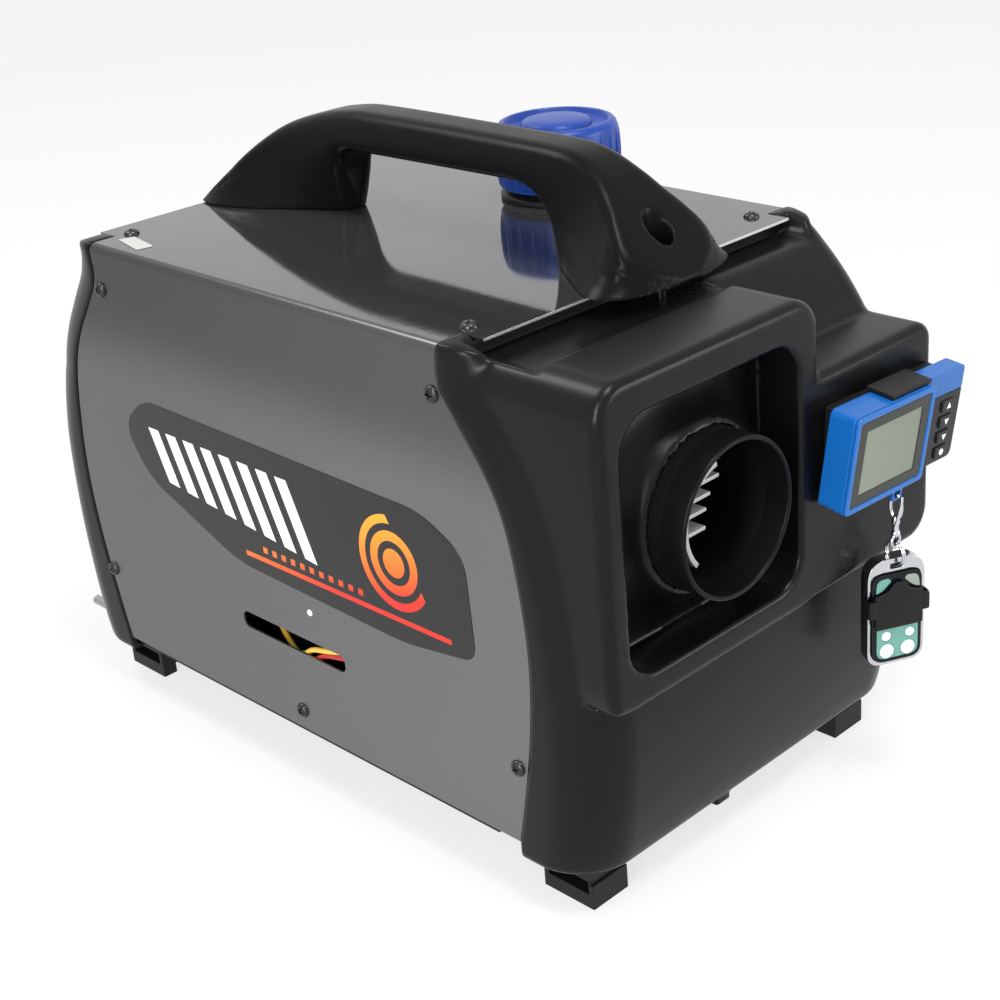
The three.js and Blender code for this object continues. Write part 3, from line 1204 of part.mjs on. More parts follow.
add("unit_casing_upper", unitShell(1), DARK_PLASTIC);
add("unit_casing_lower", unitShell(-1), DARK_PLASTIC);
const saddles = unitBracket();
add("unit_saddle_front", saddles.front, STEEL);
add("unit_saddle_rear", saddles.rear, STEEL);
add("outlet_collar", outletCollar(), BLACK_PLASTIC);
add("heat_exchanger", heatExchanger(), ALUMINIUM);
add("burner_tube", burnerTube(), STEEL);
add("combustion_housing", combustionHousing(), ALUMINIUM);
add("glow_plug", glowPlug(), STEEL);
add("blower_motor", blowerMotor(), STEEL);
add("motor_shaft", motorShaft(), BRIGHT_STEEL);
add("fan_wheel", fanWheel(), DARK_PLASTIC);
add("combustion_impeller", impeller(), ALUMINIUM);
add("control_unit", controlUnit(), DARK_PLASTIC);
const portUnder = OUTLET_Z - UNIT_HALF_HEIGHT + UNIT_WALL + 6 - GAP;
const voluteUnder = OUTLET_Z - FIN_REACH + 2 - GAP;
add("exhaust_pipe", pipe(EXHAUST_PLACE, portUnder, PIPE_END), STEEL);
add("combustion_air_pipe", pipe(AIR_PLACE, voluteUnder, PIPE_END), DARK_PLASTIC);

heater.add(control);
add("controller_bracket", controlBracket(), DARK_PLASTIC, control);
add("controller_case", controlCase(), BLUE_PLASTIC, control);
add("screen_bezel", screenBezel(), DARK_PLASTIC, control);
add("screen_glass", screenGlass(), SCREEN_GLASS, control);
add("button_panel", buttonPanel(), DARK_PLASTIC, control);
for (let i = 0; i < CONTROL_BUTTONS; i++) {
  add(`controller_button_${i + 1}`, controlButton(i), RUBBER, control);
}

heater.add(clasp);
add("clasp_hook", claspHook(), BRIGHT_STEEL, clasp);
add("fob_link", fobLink(), BRIGHT_STEEL, clasp);
heater.add(fob);
add("fob_frame", fobFrame(), BRIGHT_STEEL, fob);
add("fob_case", fobCase(), TEAL, fob);
add("fob_slider", fobSlider(), DARK_PLASTIC, fob);
FOB_BUTTONS.forEach((place, i) => add(`fob_button_${i + 1}`, fobButton(place), WHITE_RUBBER, fob));

export default assembly;
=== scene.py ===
"""Looks for the portable diesel air heater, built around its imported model.

Millimetres in the tables below are the part's own: x across, y from the middle of the
case, z above the ground. place() turns them into metres in the shared frame.
"""

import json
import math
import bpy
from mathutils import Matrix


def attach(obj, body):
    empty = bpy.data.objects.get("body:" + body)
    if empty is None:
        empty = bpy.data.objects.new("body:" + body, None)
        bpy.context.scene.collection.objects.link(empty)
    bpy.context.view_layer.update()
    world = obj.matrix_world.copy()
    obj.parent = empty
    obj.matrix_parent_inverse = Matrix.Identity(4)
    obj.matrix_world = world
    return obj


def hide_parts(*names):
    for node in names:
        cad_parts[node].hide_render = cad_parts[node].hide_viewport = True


bl_info = {
    "name": "Diesel Air Heater",
    "version": (1, 0, 0),
    "blender": (4, 5, 0),
    "location": "View3D > Sidebar > Heater",
    "description": "Builds the pieces, finishes and studio of a portable diesel air heater",
    "category": "Object",
}

from functools import partial

import bmesh
import bpy
import numpy as np
from bpy.props import FloatProperty, FloatVectorProperty, IntProperty, PointerProperty
from mathutils import Matrix, Vector

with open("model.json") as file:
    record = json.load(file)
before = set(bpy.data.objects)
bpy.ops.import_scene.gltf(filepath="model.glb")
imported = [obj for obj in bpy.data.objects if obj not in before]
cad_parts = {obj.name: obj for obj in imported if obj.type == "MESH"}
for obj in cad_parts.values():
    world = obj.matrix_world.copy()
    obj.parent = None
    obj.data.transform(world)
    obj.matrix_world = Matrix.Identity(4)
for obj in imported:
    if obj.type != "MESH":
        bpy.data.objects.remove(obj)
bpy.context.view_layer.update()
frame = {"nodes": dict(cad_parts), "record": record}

MM = 0.001
GAP = 0.3
FRAME_SHIFT = 12.5  # from the middle of the overall length to the middle of the case

# case
CASE_HALF = 122.5
CASE_TOP = 277.0
SHEET = 1.2
SHEET_BEND = 4.0
SHEET_BOTTOM = 34.0
EDGE_READ_TOP = 272.9  # the sheet's edge runs straight on above this height
LIP_REACH = 147.4
LIP_HALF = 106.0
SLOT_Z = 86.6
SHEET_EDGE = (
    (34, 161), (58, 166.5), (100, 174), (138, 176.5), (176, 173),
    (205, 166.5), (224, 157), (241, 144.5), (258, 133.5), (277, 134),
)

# end caps
CAP_FACE = (
    (25, 204), (36, 207), (60, 211), (95, 214), (130, 214), (160, 211.5), (191, 206),
    (213, 199), (234, 189), (248, 179.5), (258, 171), (265, 164), (271.5, 157), (275, 152), (277.6, 146),
)
REAR_FACE = (
    (25, 204), (36, 207), (60, 211), (95, 214), (130, 214), (160, 211.5), (191, 204),
    (213, 194.5), (234, 182), (248, 172), (258, 164.5), (265, 159), (271.5, 154), (275, 150), (277.6, 145),
)
CAP_BOTTOM = 25.0
CAP_TOP = 277.6
CAP_WALL = 3.0
CAP_PROUD = 0.8
CAP_CORNER = 30.0
WING_SHOULDER = 14.0
BOX = {"front": 223.6, "left": -117.0, "right": 28.0, "top": 272.0, "bottom": 120.0, "back": 130.0}
BOX_CORNER = 15.0
BOX_FOOT = {"top": 200.0, "corner": 5.0}
BOX_EDGE = 5.0
BOX_FILLET = 2.4
WING = {"left": 0.0, "right": 121.0, "bottom": 150.0, "top": 234.0, "corner": 9.0}
WING_FOOT = {"left": -60.0, "top": 190.0, "corner": 16.0}
WING_FILLET = 6.0
SHOULDER_START = 185.0
POCKET = {"left": -105.0, "right": 14.0, "bottom": 133.5, "top": 255.5, "corner": 17.0, "depth": 24.0}
VALLEY = {"half": 112.0, "floor": 268.0, "back": 141.4, "front": 182.0, "rise": 60.0, "corner": 9.0}
MOULDED_EDGE = 3.0
CAP_EDGE = 3.5
BOSS = {"radius": 50.0, "taper": 10.5, "height": 17.0, "slope": 0.88, "edge": 1.6, "fillet": 13.0}
FLOOR_TAB = ((-29, -19), (196, 203), (21, 29))
FRONT_GRID = 96  # how far behind the sheet's edge each cap is drawn
REAR_GRID = 62
CAP_KEEP = 0.42  # share of a cap's triangles that is kept
OUTLET_X = -46.0
OUTLET_Z = 194.0
OUTLET_RADIUS = 37.5
OUTLET_WALL = 2.4
OUTLET_FRONT = 236.0
INTAKE_RADIUS = 46.0
INTAKE_RIM = 5.0
INTAKE_PROUD = 3.0
INTAKE_PLANE = 200.0
GLAND = (70.0, 60.0, 8.0)
DRAIN = (-107.0, 32.0, 2.8)

# handle: along y, the height over the sheet, half width of the foot, half width of the crown
HANDLE_HEIGHT = (
    (-173, 4), (-171, 6.5), (-168, 9.5), (-164, 14), (-158, 20.5), (-150, 29), (-143, 36), (-132, 45.5),
    (-119, 52.5), (-104, 55.5), (-70, 56.4), (40, 56.4), (63, 54), (82, 49.5), (98, 44), (113, 35.5),
    (128, 23.5), (142, 10), (151, 1.5),
)
HANDLE_FOOT = (
    (-173, 12), (-171, 21), (-168, 31), (-164, 39), (-158, 44), (-150, 45), (-143, 42), (-132, 35),
    (-119, 26), (-108, 18), (-98, 13), (-60, 13), (30, 12), (58, 3), (62, 7), (70, 11.5), (82, 17.5),
    (98, 26), (118, 36), (135, 41), (151, 40),
)
HANDLE_CROWN = (
    (-173, 9), (-168, 22), (-164, 28), (-158, 31.5), (-150, 28), (-142, 23), (-130, 18), (-115, 16), (60, 16),
    (82, 17), (98, 19.5), (113, 24), (128, 31), (142, 35), (151, 36),
)
HANDLE_BOLTS = (-154.5, 124.0)
HANDLE_BOLT_SEAT = 283.0
HANDLE_BORE = 6.5
HANDLE_TOP = 337.0
HANDLE_ROUND = 9.0
GRIP_EDGE = 7.0

SCREW_SEED = 7
LEAD_RADIUS = 1.5

# filler, controller and fob
FILLER = (80.5, -13.0)
FILLER_BORE = 25
FUEL_CAP_RADIUS = 34.0
FUEL_CAP_TOP = 318.0
FUEL_CAP_HEIGHT = 34.0
CONTROL_PLACE = (25.0, -223.9, 196.0)
CONTROL_TILT = 0.13
CONTROL_LEAN = 0.045
CONTROL = {"width": 97.0, "height": 50.0, "depth": 9.5, "screen": 63.0, "rise": 6.5}
FOB_X = 72.5
FOB_Y = -241.0
FOB_TURN = 0.48
FOB = {"width": 31.0, "height": 58.5, "thick": 10.0}
FOB_BUTTONS = ((-6, -12.5, 2.6), (7, -12.5, 2.6), (-5.6, -21, 3.9), (6, -21, 3.9))
CLASP_RING = -25.6
LINK_RADIUS = 6.2

# camera, in the shared frame
CAMERA_PLACE = (-0.59666, -0.67654, 0.53619)
CAMERA_RIGHT = (0.691664, -0.719476, -0.062893)
CAMERA_UP = (0.337209, 0.244708, 0.909070)
CAMERA_BACK = (-0.638663, -0.649978, 0.411869)
CAMERA_LENS = 65.293
CAMERA_SHIFT = (-0.0637, -0.01456)

# studio
FLOOR_HALF = 6.0  # metres
FLOOR_GLOW = 0.72  # share of plain white that the floor shows to the camera
ROOM_LIGHT = 0.62
LAMPS = (  # name, place and sides in metres, power in watts
    ("overhead", (-0.08, -0.62, 1.75), 0.5, 0.7, 19),
    ("left", (-1.75, -0.80, 0.85), 0.25, 1.45, 34),
    ("front", (1.0, -1.7, 0.5), 0.9, 0.7, 15),
    ("back", (-0.35, 1.1, 1.75), 0.6, 0.6, 12),
)


# ------------------------------------------------------------------ settings

class HeaterSizes(bpy.types.PropertyGroup):
    """Sizes of the details that dress the heater."""

    slot_length: FloatProperty(
        name="Slot length", description="Length of the slot in the side sheet",
        default=0.084, unit="LENGTH")
    slot_height: FloatProperty(
        name="Slot height", description="Height of the slot in the side sheet",
        default=0.0096, unit="LENGTH")
    screw_radius: FloatProperty(
        name="Screw head radius", description="Radius of the domed case screws",
        default=0.0042, unit="LENGTH")
    screw_height: FloatProperty(
        name="Screw head height", description="How far a screw head stands out",
        default=0.0024, unit="LENGTH")
    cap_ribs: IntProperty(
        name="Fuel cap ribs", description="Number of grip ribs round the fuel cap", default=24, min=3)
    moulding_step: FloatProperty(
        name="Moulding step", description="Grid step that the moulded skins are drawn at",
        default=0.00145, unit="LENGTH")
    grain: FloatProperty(
        name="Plastic grain", description="Width of one grain of the moulded plastic",
        default=0.0011, unit="LENGTH")


def colour_setting(label, text, value):
    return FloatVectorProperty(name=label, description=text, default=value, subtype="COLOR", min=0, max=1)


class HeaterColours(bpy.types.PropertyGroup):
    """Colours of the finishes, scene linear."""

    plastic: colour_setting("Moulded ends", "Black of the end caps and the handle", (0.0038, 0.0038, 0.0045))
    dark: colour_setting("Small plastic parts", "Black of feet, bracket and grille", (0.006, 0.006, 0.0065))
    sheet: colour_setting("Sheet", "Grey of the sheet cover", (0.152, 0.153, 0.157))
    controller: colour_setting("Controller", "Blue of the controller case", (0.005, 0.098, 0.35))
    fuel_cap: colour_setting("Fuel cap", "Blue of the fuel cap", (0.007, 0.040, 0.25))
    teal: colour_setting("Fob face", "Teal of the fob's lower face", (0.105, 0.27, 0.23))
    keys: colour_setting("Fob keys", "Pale blue of the fob's keys", (0.60, 0.75, 0.76))
    display: colour_setting("Display", "Grey green of the display", (0.150, 0.172, 0.128))


# ------------------------------------------------------------------- placing

def place(points):
    """Millimetres of the case's own frame, as metres in the shared frame."""
    points = np.asarray(points, float).reshape(-1, 3)
    return (points + (0, FRAME_SHIFT, 0)) * MM


def local_frame(origin, rotation):
    """Matrix from a sub-assembly's own millimetres to the shared frame."""
    where = Vector(place([origin])[0])
    return Matrix.Translation(where) @ rotation.to_4x4() @ Matrix.Scale(MM, 4)


CONTROL_FRAME = local_frame(
    CONTROL_PLACE, Matrix.Rotation(CONTROL_LEAN, 3, "Y") @ Matrix.Rotation(CONTROL_TILT, 3, "X"))
EYE = (FOB_X - CONTROL_PLACE[0], FOB_Y - CONTROL_PLACE[1], -CONTROL["height"] / 2 - 4)
CLASP_POINT = CONTROL_FRAME @ Vector(EYE)
CLASP_FRAME = Matrix.Translation(CLASP_POINT) @ Matrix.Scale(MM, 4)
FOB_FRAME = (
    Matrix.Translation(CLASP_POINT)
    @ Matrix.Scale(MM, 4)
    @ Matrix.Translation((
        math.sin(FOB_TURN), math.cos(FOB_TURN),
        CLASP_RING - 2 * LINK_RADIUS - FOB["height"] / 2 + 3.6))
    @ Matrix.Rotation(-FOB_TURN, 4, "Z")
)
CASE_FRAME = Matrix.Scale(MM, 4) @ Matrix.Translation((0, FRAME_SHIFT, 0))


# -------------------------------------------------------------------- meshes

def linked(name, mesh):
    """Object that carries the mesh, linked into the scene."""
    made = bpy.data.objects.new(name, mesh)
    bpy.context.scene.collection.objects.link(made)
    return made


def baked(made):
    """Plain mesh of an object as it is evaluated."""
    bpy.context.view_layer.update()
    graph = bpy.context.evaluated_depsgraph_get()
    return bpy.data.meshes.new_from_object(made.evaluated_get(graph))


def new_object(name, vertices, faces, matrix=None):
    """Object at the origin, its place kept in its mesh."""
    mesh = bpy.data.meshes.new(name)
    mesh.from_pydata([tuple(v) for v in vertices], [], [tuple(f) for f in faces])
    if matrix is not None:
        mesh.transform(matrix)
    mesh.update()
    return linked(name, mesh)


def outward(made, merge=1e-6):
    """Closes double points and turns every face outwards."""
    work = bmesh.new()
    work.from_mesh(made.data)
    bmesh.ops.remove_doubles(work, verts=work.verts, dist=merge)
    bmesh.ops.recalc_face_normals(work, faces=work.faces)
    work.to_mesh(made.data)
    work.free()
    return made


def settle(made):
    """Turns the evaluated object into a plain mesh and drops its modifiers."""
    done = baked(made)
    made.modifiers.clear()
    made.data = done
    return made


def soften(made, width, segments=3, angle=35):
    """Rounds the edges sharper than the angle; width in millimetres."""
    bevel = made.modifiers.new("edges", "BEVEL")
    bevel.width = width * MM
    bevel.segments = segments
    bevel.limit_method = "ANGLE"
    bevel.angle_limit = math.radians(angle)
    bevel.use_clamp_overlap = True
    return settle(made)


def shade(made, angle=40, flats=False):
    """Smooth shading up to an angle; flats keeps large flat faces free of their edges' tint."""
    for face in made.data.polygons:
        face.use_smooth = True
    made.data.set_sharp_from_angle(angle=math.radians(angle))
    if flats:
        level = made.modifiers.new("flats", "WEIGHTED_NORMAL")
        level.keep_sharp = True
        level.weight = 80
        settle(made)
    return made


def mount(made, body, material, replaced=()):
    """Finish, material slot, hidden solids and body of a piece, in that order."""
    made.data.materials.clear()
    made.data.materials.append(material)
    if replaced:
        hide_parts(*replaced)
    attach(made, body)
    return made


def rounded(corners, steps=5):
    """Closed outline through (u, v, radius) corners, rounded as in the solid part."""
    points = []
    count = len(corners)
    for i, (u, v, radius) in enumerate(corners):
        here = np.array((u, v), float)
        before = np.array(corners[i - 1][:2], float) - here
        after = np.array(corners[(i + 1) % count][:2], float) - here
        reach_in = min(radius, np.hypot(*before) / 2, np.hypot(*after) / 2)
        if reach_in <= 0:
            points.append(here)
            continue
        start = here + before / np.hypot(*before) * reach_in
        end = here + after / np.hypot(*after) * reach_in
        for t in np.linspace(0, 1, steps + 1):
            points.append((1 - t) ** 2 * start + 2 * t * (1 - t) * here + t**2 * end)
    points = np.array(points)
    return points[np.linalg.norm(points - np.roll(points, 1, axis=0), axis=1) > 1e-4]


def corners_of(u0, v0, u1, v1, radius):
    return [(u0, v0, radius), (u1, v0, radius), (u1, v1, radius), (u0, v1, radius)]


def plate(name, outline, low, high, matrix, axis="y", holes=()):
    """Flat piece: an outline in (x, z), or in (y, z) or (x, y), with thickness along the axis."""
    work = bmesh.new()

    def point(u, v, w):
        return {"y": (u, w, v), "x": (w, u, v), "z": (u, v, w)}[axis]

    edges = []
    for loop in [outline, *holes]:
        ring = [work.verts.new(point(u, v, low)) for u, v in loop]
        edges += [work.edges.new((ring[i - 1], ring[i])) for i in range(len(ring))]
    filled = bmesh.ops.triangle_fill(work, use_beauty=True, use_dissolve=False, edges=edges)
    flat = [part for part in filled["geom"] if isinstance(part, bmesh.types.BMFace)]
    if not holes:
        flat = bmesh.ops.dissolve_faces(work, faces=flat, use_verts=False)["region"]
    raised = bmesh.ops.extrude_face_region(work, geom=flat)["geom"]
    lifted = [part for part in raised if isinstance(part, bmesh.types.BMVert)]
    bmesh.ops.translate(work, vec=Vector(point(0, 0, high - low)), verts=lifted)
    bmesh.ops.recalc_face_normals(work, faces=work.faces)
    mesh = bpy.data.meshes.new(name)
    work.to_mesh(mesh)
    work.free()
    mesh.transform(matrix)
    return linked(name, mesh)


def flat_piece(matrix, steps, name, corners, low, high, width, material, slot, replaced=(), body="case",
               holes=()):
    """Flat piece of a sub-assembly, softened, finished and mounted."""
    made = plate(name, rounded(corners, steps), low, high, matrix, "y", holes)
    soften(made, width, 3)
    return mount(shade(made, flats=True), body, MATERIALS[material], replaced)


def circle(x, z, radius, count):
    """Points round a circle."""
    angles = np.linspace(0, 2 * math.pi, count, endpoint=False)
    return [(x + radius * math.cos(a), z + radius * math.sin(a)) for a in angles]


def turned(name, profile, centre, axis, matrix, segments=96):
    """Lathe piece: (radius, height) pairs, turned about an axis through the centre."""
    points, faces = [], []
    count = len(profile)
    for s in range(segments):
        angle = 2 * math.pi * s / segments
        for radius, height in profile:
            a, b = radius * math.cos(angle), radius * math.sin(angle)
            offset = {"z": (a, b, height), "y": (a, height, b), "x": (height, a, b)}[axis]
            points.append(np.add(centre, offset))
        following = (s + 1) % segments
        for i in range(count):
            j = (i + 1) % count
            faces.append((s * count + i, s * count + j, following * count + j, following * count + i))
    made = new_object(name, points, faces, matrix)
    work = bmesh.new()
    work.from_mesh(made.data)
    bmesh.ops.remove_doubles(work, verts=work.verts, dist=1e-6)
    bmesh.ops.dissolve_degenerate(work, edges=work.edges, dist=1e-7)
    loose = [v for v in work.verts if not v.link_faces]
    bmesh.ops.delete(work, geom=loose, context="VERTS")
    bmesh.ops.recalc_face_normals(work, faces=work.faces)
    work.to_mesh(made.data)
    work.free()
    return made


def tube(name, points, radius, matrix, sides=12, closed=False):
    """Round wire or hose along a smooth route through the points."""
    curve = bpy.data.curves.new(name, "CURVE")
    curve.dimensions = "3D"
    curve.bevel_depth = radius
    curve.bevel_resolution = max(1, sides // 4)
    curve.resolution_u = 8
    curve.use_fill_caps = not closed
    spline = curve.splines.new("BEZIER")
    spline.bezier_points.add(len(points) - 1)
    for knot, point in zip(spline.bezier_points, points):
        knot.co = point
        knot.handle_left_type = knot.handle_right_type = "AUTO"
    spline.use_cyclic_u = closed
    holder = linked(name, curve)
    mesh = baked(holder)
    bpy.data.objects.remove(holder)
    mesh.transform(matrix)
    return outward(linked(name, mesh), merge=1e-7)


def joined(name, pieces):
    """Several plain meshes as one piece."""
    work = bmesh.new()
    for piece in pieces:
        work.from_mesh(piece.data)
    mesh = bpy.data.meshes.new(name)
    work.to_mesh(mesh)
    work.free()
    for piece in pieces:
        bpy.data.objects.remove(piece)
    return linked(name, mesh)


def cut(made, tool):
    """Takes the tool's volume out of a piece, and drops the tool."""
    step = made.modifiers.new("cut", "BOOLEAN")
    step.operation = "DIFFERENCE"
    step.solver = "EXACT"
    step.object = tool
    settle(made)
    bpy.data.objects.remove(tool)
    return made


def refined(node, width):
    """Copy of a solid with its doubles merged, its flats joined and its edges rounded."""
    mesh = frame["nodes"][node].data.copy()
    made = linked(node + "_piece", mesh)
    work = bmesh.new()
    work.from_mesh(mesh)
    bmesh.ops.remove_doubles(work, verts=work.verts, dist=2e-6)
    bmesh.ops.dissolve_limit(
        work, angle_limit=math.radians(1.0), use_dissolve_boundaries=False,
        verts=work.verts, edges=work.edges)
    work.to_mesh(mesh)
    work.free()
    return shade(soften(made, width, 2, 30), 40, flats=True)


# ------------------------------------------------- moulded skins from a field

def reach(table, height):
    """Smooth reading of a table of (height, reach) pairs."""
    place_at, value = np.array(table, float).T
    slope = np.empty_like(value)
    slope[1:-1] = (value[2:] - value[:-2]) / (place_at[2:] - place_at[:-2])
    slope[0] = (value[1] - value[0]) / (place_at[1] - place_at[0])
    slope[-1] = (value[-1] - value[-2]) / (place_at[-1] - place_at[-2])
    held = np.clip(height, place_at[0], place_at[-1])
    i = np.clip(np.searchsorted(place_at, held, side="right") - 1, 0, len(place_at) - 2)
    span = place_at[i + 1] - place_at[i]
    t = (held - place_at[i]) / span
    return (
        value[i] * (2 * t**3 - 3 * t**2 + 1) + value[i + 1] * (3 * t**2 - 2 * t**3)
        + slope[i] * span * (t**3 - 2 * t**2 + t) + slope[i + 1] * span * (t**3 - t**2)
    )


def join(a, b, radius=0.0):
    """Union of two fields, with a fillet."""
    if radius <= 0:
        return np.minimum(a, b)
    lap = np.maximum(radius - np.abs(a - b), 0) / radius
    return np.minimum(a, b) - lap * lap * radius / 4


def within(a, b, radius=0.0):
    """Overlap of two fields, with a rounded edge."""
    return -join(-a, -b, radius)


def corner_field(a, b, radius):
    """Field of a rounded corner; a and b are the distances beyond the round's middle."""
    return np.hypot(np.maximum(a, 0), np.maximum(b, 0)) + np.minimum(np.maximum(a, b), 0) - radius


def rounded_box(u, v, box, radius):
    """Field of a rectangle (u0, v0, u1, v1) with rounded corners."""
    u0, v0, u1, v1 = box
    across = np.abs(u - (u0 + u1) / 2) - ((u1 - u0) / 2 - radius)
    up = np.abs(v - (v0 + v1) / 2) - ((v1 - v0) / 2 - radius)
    return corner_field(across, up, radius)


def between(w, low, high):
    return np.maximum(low - w, w - high)


def outline_field(u, v, outline):
    """Signed distance to a closed outline, for grids of u and v."""
    u, v = np.broadcast_arrays(u, v)
    nearest = np.full(u.shape, 1e9)
    inside = np.zeros(u.shape, bool)
    for (u0, v0), (u1, v1) in zip(outline, np.roll(outline, -1, axis=0)):
        du, dv = u1 - u0, v1 - v0
        length = du * du + dv * dv
        if length < 1e-12:
            continue
        t = np.clip(((u - u0) * du + (v - v0) * dv) / length, 0, 1)
        nearest = np.minimum(nearest, (u - u0 - t * du) ** 2 + (v - v0 - t * dv) ** 2)
        if dv != 0:
            crosses = ((v0 > v) != (v1 > v)) & (u < u0 + (v - v0) * du / dv)
            inside ^= crosses
    return np.where(inside, -1, 1) * np.sqrt(nearest)


def sampled(field, points):
    """Trilinear reading of a grid at points given in grid steps."""
    base = np.clip(np.floor(points).astype(int), 0, np.array(field.shape) - 2)
    t = points - base
    total = 0
    for corner in np.ndindex(2, 2, 2):
        share = np.prod(np.where(corner, t, 1 - t), axis=1)
        i, j, k = (base + corner).T
        total = total + share * field[i, j, k]
    return total


def skin(field):
    """Points, in grid steps, and four-sided faces of the surface where a field changes sign."""
    inside = field < 0
    cells = np.array(field.shape) - 1
    total = np.zeros((*cells, 3))
    count = np.zeros(cells)

    def ends(axis):
        near, far = [slice(None)] * 3, [slice(None)] * 3
        near[axis], far[axis] = slice(0, -1), slice(1, None)
        return tuple(near), tuple(far)

    for axis in range(3):
        near, far = ends(axis)
        crosses = inside[near] != inside[far]
        share = np.where(crosses, field[near] / np.where(crosses, field[near] - field[far], 1), 0)
        u, v = [k for k in range(3) if k != axis]
        for du, dv in np.ndindex(2, 2):
            pick = [slice(None)] * 3
            pick[u], pick[v] = slice(du, du + cells[u]), slice(dv, dv + cells[v])
            pick = tuple(pick)
            count += crosses[pick]
            total[..., axis] += share[pick]
            total[..., u] += crosses[pick] * du
            total[..., v] += crosses[pick] * dv
    live = count > 0
    number = np.full(cells, -1)
    number[live] = np.arange(live.sum())
    points = np.argwhere(live) + total[live] / count[live][:, None]
    faces = []
    for axis in range(3):
        u, v = [(1, 2), (2, 0), (0, 1)][axis]
        near, far = ends(axis)
        at = np.argwhere(inside[near] != inside[far])
        at = at[(at[:, u] > 0) & (at[:, v] > 0) & (at[:, u] < cells[u]) & (at[:, v] < cells[v])]
        leaves = inside[tuple(at.T)]
        step_u, step_v = np.eye(3, dtype=int)[u], np.eye(3, dtype=int)[v]
        ring = [number[tuple((at - back).T)] for back in (step_u + step_v, step_v, 0 * step_u, step_u)]
        quads = np.stack(ring, axis=1)
        quads[~leaves] = quads[~leaves][:, ::-1]
        faces.append(quads)
    faces = np.concatenate(faces)
    slopes = np.gradient(field)
    for _ in range(2):
        value = sampled(field, points)
        slope = np.stack([sampled(s, points) for s in slopes], axis=1)
        length = np.maximum((slope**2).sum(axis=1), 1e-6)
        move = -value[:, None] * slope / length[:, None]
        far = np.maximum(np.linalg.norm(move, axis=1, keepdims=True) / 0.4, 1)
        points = points + move / far
    return points, faces


def moulded(name, field, low, step, unshear, keep):
    """Piece drawn from a field; unshear turns grid millimetres into the case's own."""
    points, faces = skin(field)
    made = new_object(name, place(unshear(np.array(low) + points * step)), faces)
    outward(made, merge=1e-7)
    thin = made.modifiers.new("thin", "DECIMATE")
    thin.ratio = keep
    settle(made)
    return shade(made, 50)


def cap_fields(face, shoulder, step, length):
    """Grid over a cap in (x, depth behind the sheet's edge, z), and the moulding's outer field."""
    xs = np.arange(-CASE_HALF - 4, CASE_HALF + 4, step)
    ws = np.arange(-1.5 * step, length, step)
    zs = np.arange(CAP_BOTTOM - 6, CAP_TOP + 4, step)
    x, w, z = np.meshgrid(xs, ws, zs, indexing="ij", sparse=True)
    edge = reach(SHEET_EDGE, z) + GAP
    depth = w + edge
    front = reach(face, z)
    steep = np.hypot(1, np.gradient(front.ravel(), step)).reshape(front.shape)
    rise = np.clip((z - SHOULDER_START) / (WING["top"] - SHOULDER_START), 0, 1)
    rise = rise * rise * (3 - 2 * rise)
    corner = np.where(x > 0, CAP_CORNER + (shoulder - CAP_CORNER) * rise, CAP_CORNER)
    corner = np.minimum(corner, np.maximum((front - edge) / steep, 1.0))
    across = np.abs(x) - (CASE_HALF + CAP_PROUD - corner)
    form = corner_field(across, (depth - front) / steep + corner, corner)
    form = within(form, between(z, CAP_BOTTOM, CAP_TOP), CAP_EDGE)
    return (xs[0], ws[0], zs[0]), x, w, z, depth, form


def rebated(form, x, z, depth):
    """Takes the room of the sheet's lip out of a cap."""
    room = np.maximum(depth - LIP_REACH - GAP, CASE_TOP - SHEET - GAP - z)
    return np.maximum(form, -np.maximum(between(x, -LIP_HALF - GAP, LIP_HALF + GAP), room))


def hollowed(form, w):
    """Shell of a cap, cut along the sheet's edge."""
    return np.maximum(np.maximum(form, -(form + CAP_WALL)), -w)


def from_edge(side):
    """Turns (x, depth behind the sheet's edge, z) into the case's own millimetres at one end."""
    def moved(points):
        edge = reach(SHEET_EDGE, points[:, 2]) + GAP
        return np.stack([points[:, 0], side * (np.maximum(points[:, 1], 0) + edge), points[:, 2]], axis=1)

    return moved


# ----------------------------------------------------------------- materials

WHITE = (1, 1, 1, 1)


def feed(tree, socket, value):
    """Links a socket or a reading to an input, or sets the input's own value."""
    if isinstance(value, Reading):
        value = value.socket
    if isinstance(value, bpy.types.NodeSocket):
        tree.links.new(value, socket)
    else:
        socket.default_value = value


def add_node(tree, kind, settings=None, inputs=None):
    """Adds a node of a kind, with its settings and its inputs."""
    made = tree.nodes.new(kind)
    for label, value in (settings or {}).items():
        setattr(made, label, value)
    for label, value in (inputs or {}).items():
        feed(tree, made.inputs[label], value)
    return made


def seen_directly(tree):
    """1 on camera, glossy and transmission rays, 0 on the rest."""
    ray = add_node(tree, "ShaderNodeLightPath").outputs
    two = add_node(tree, "ShaderNodeMath", {"operation": "ADD"}, {
        0: ray["Is Camera Ray"], 1: ray["Is Glossy Ray"]})
    return add_node(tree, "ShaderNodeMath", {"operation": "ADD", "use_clamp": True}, {
        0: two.outputs[0], 1: ray["Is Transmission Ray"]}).outputs[0]


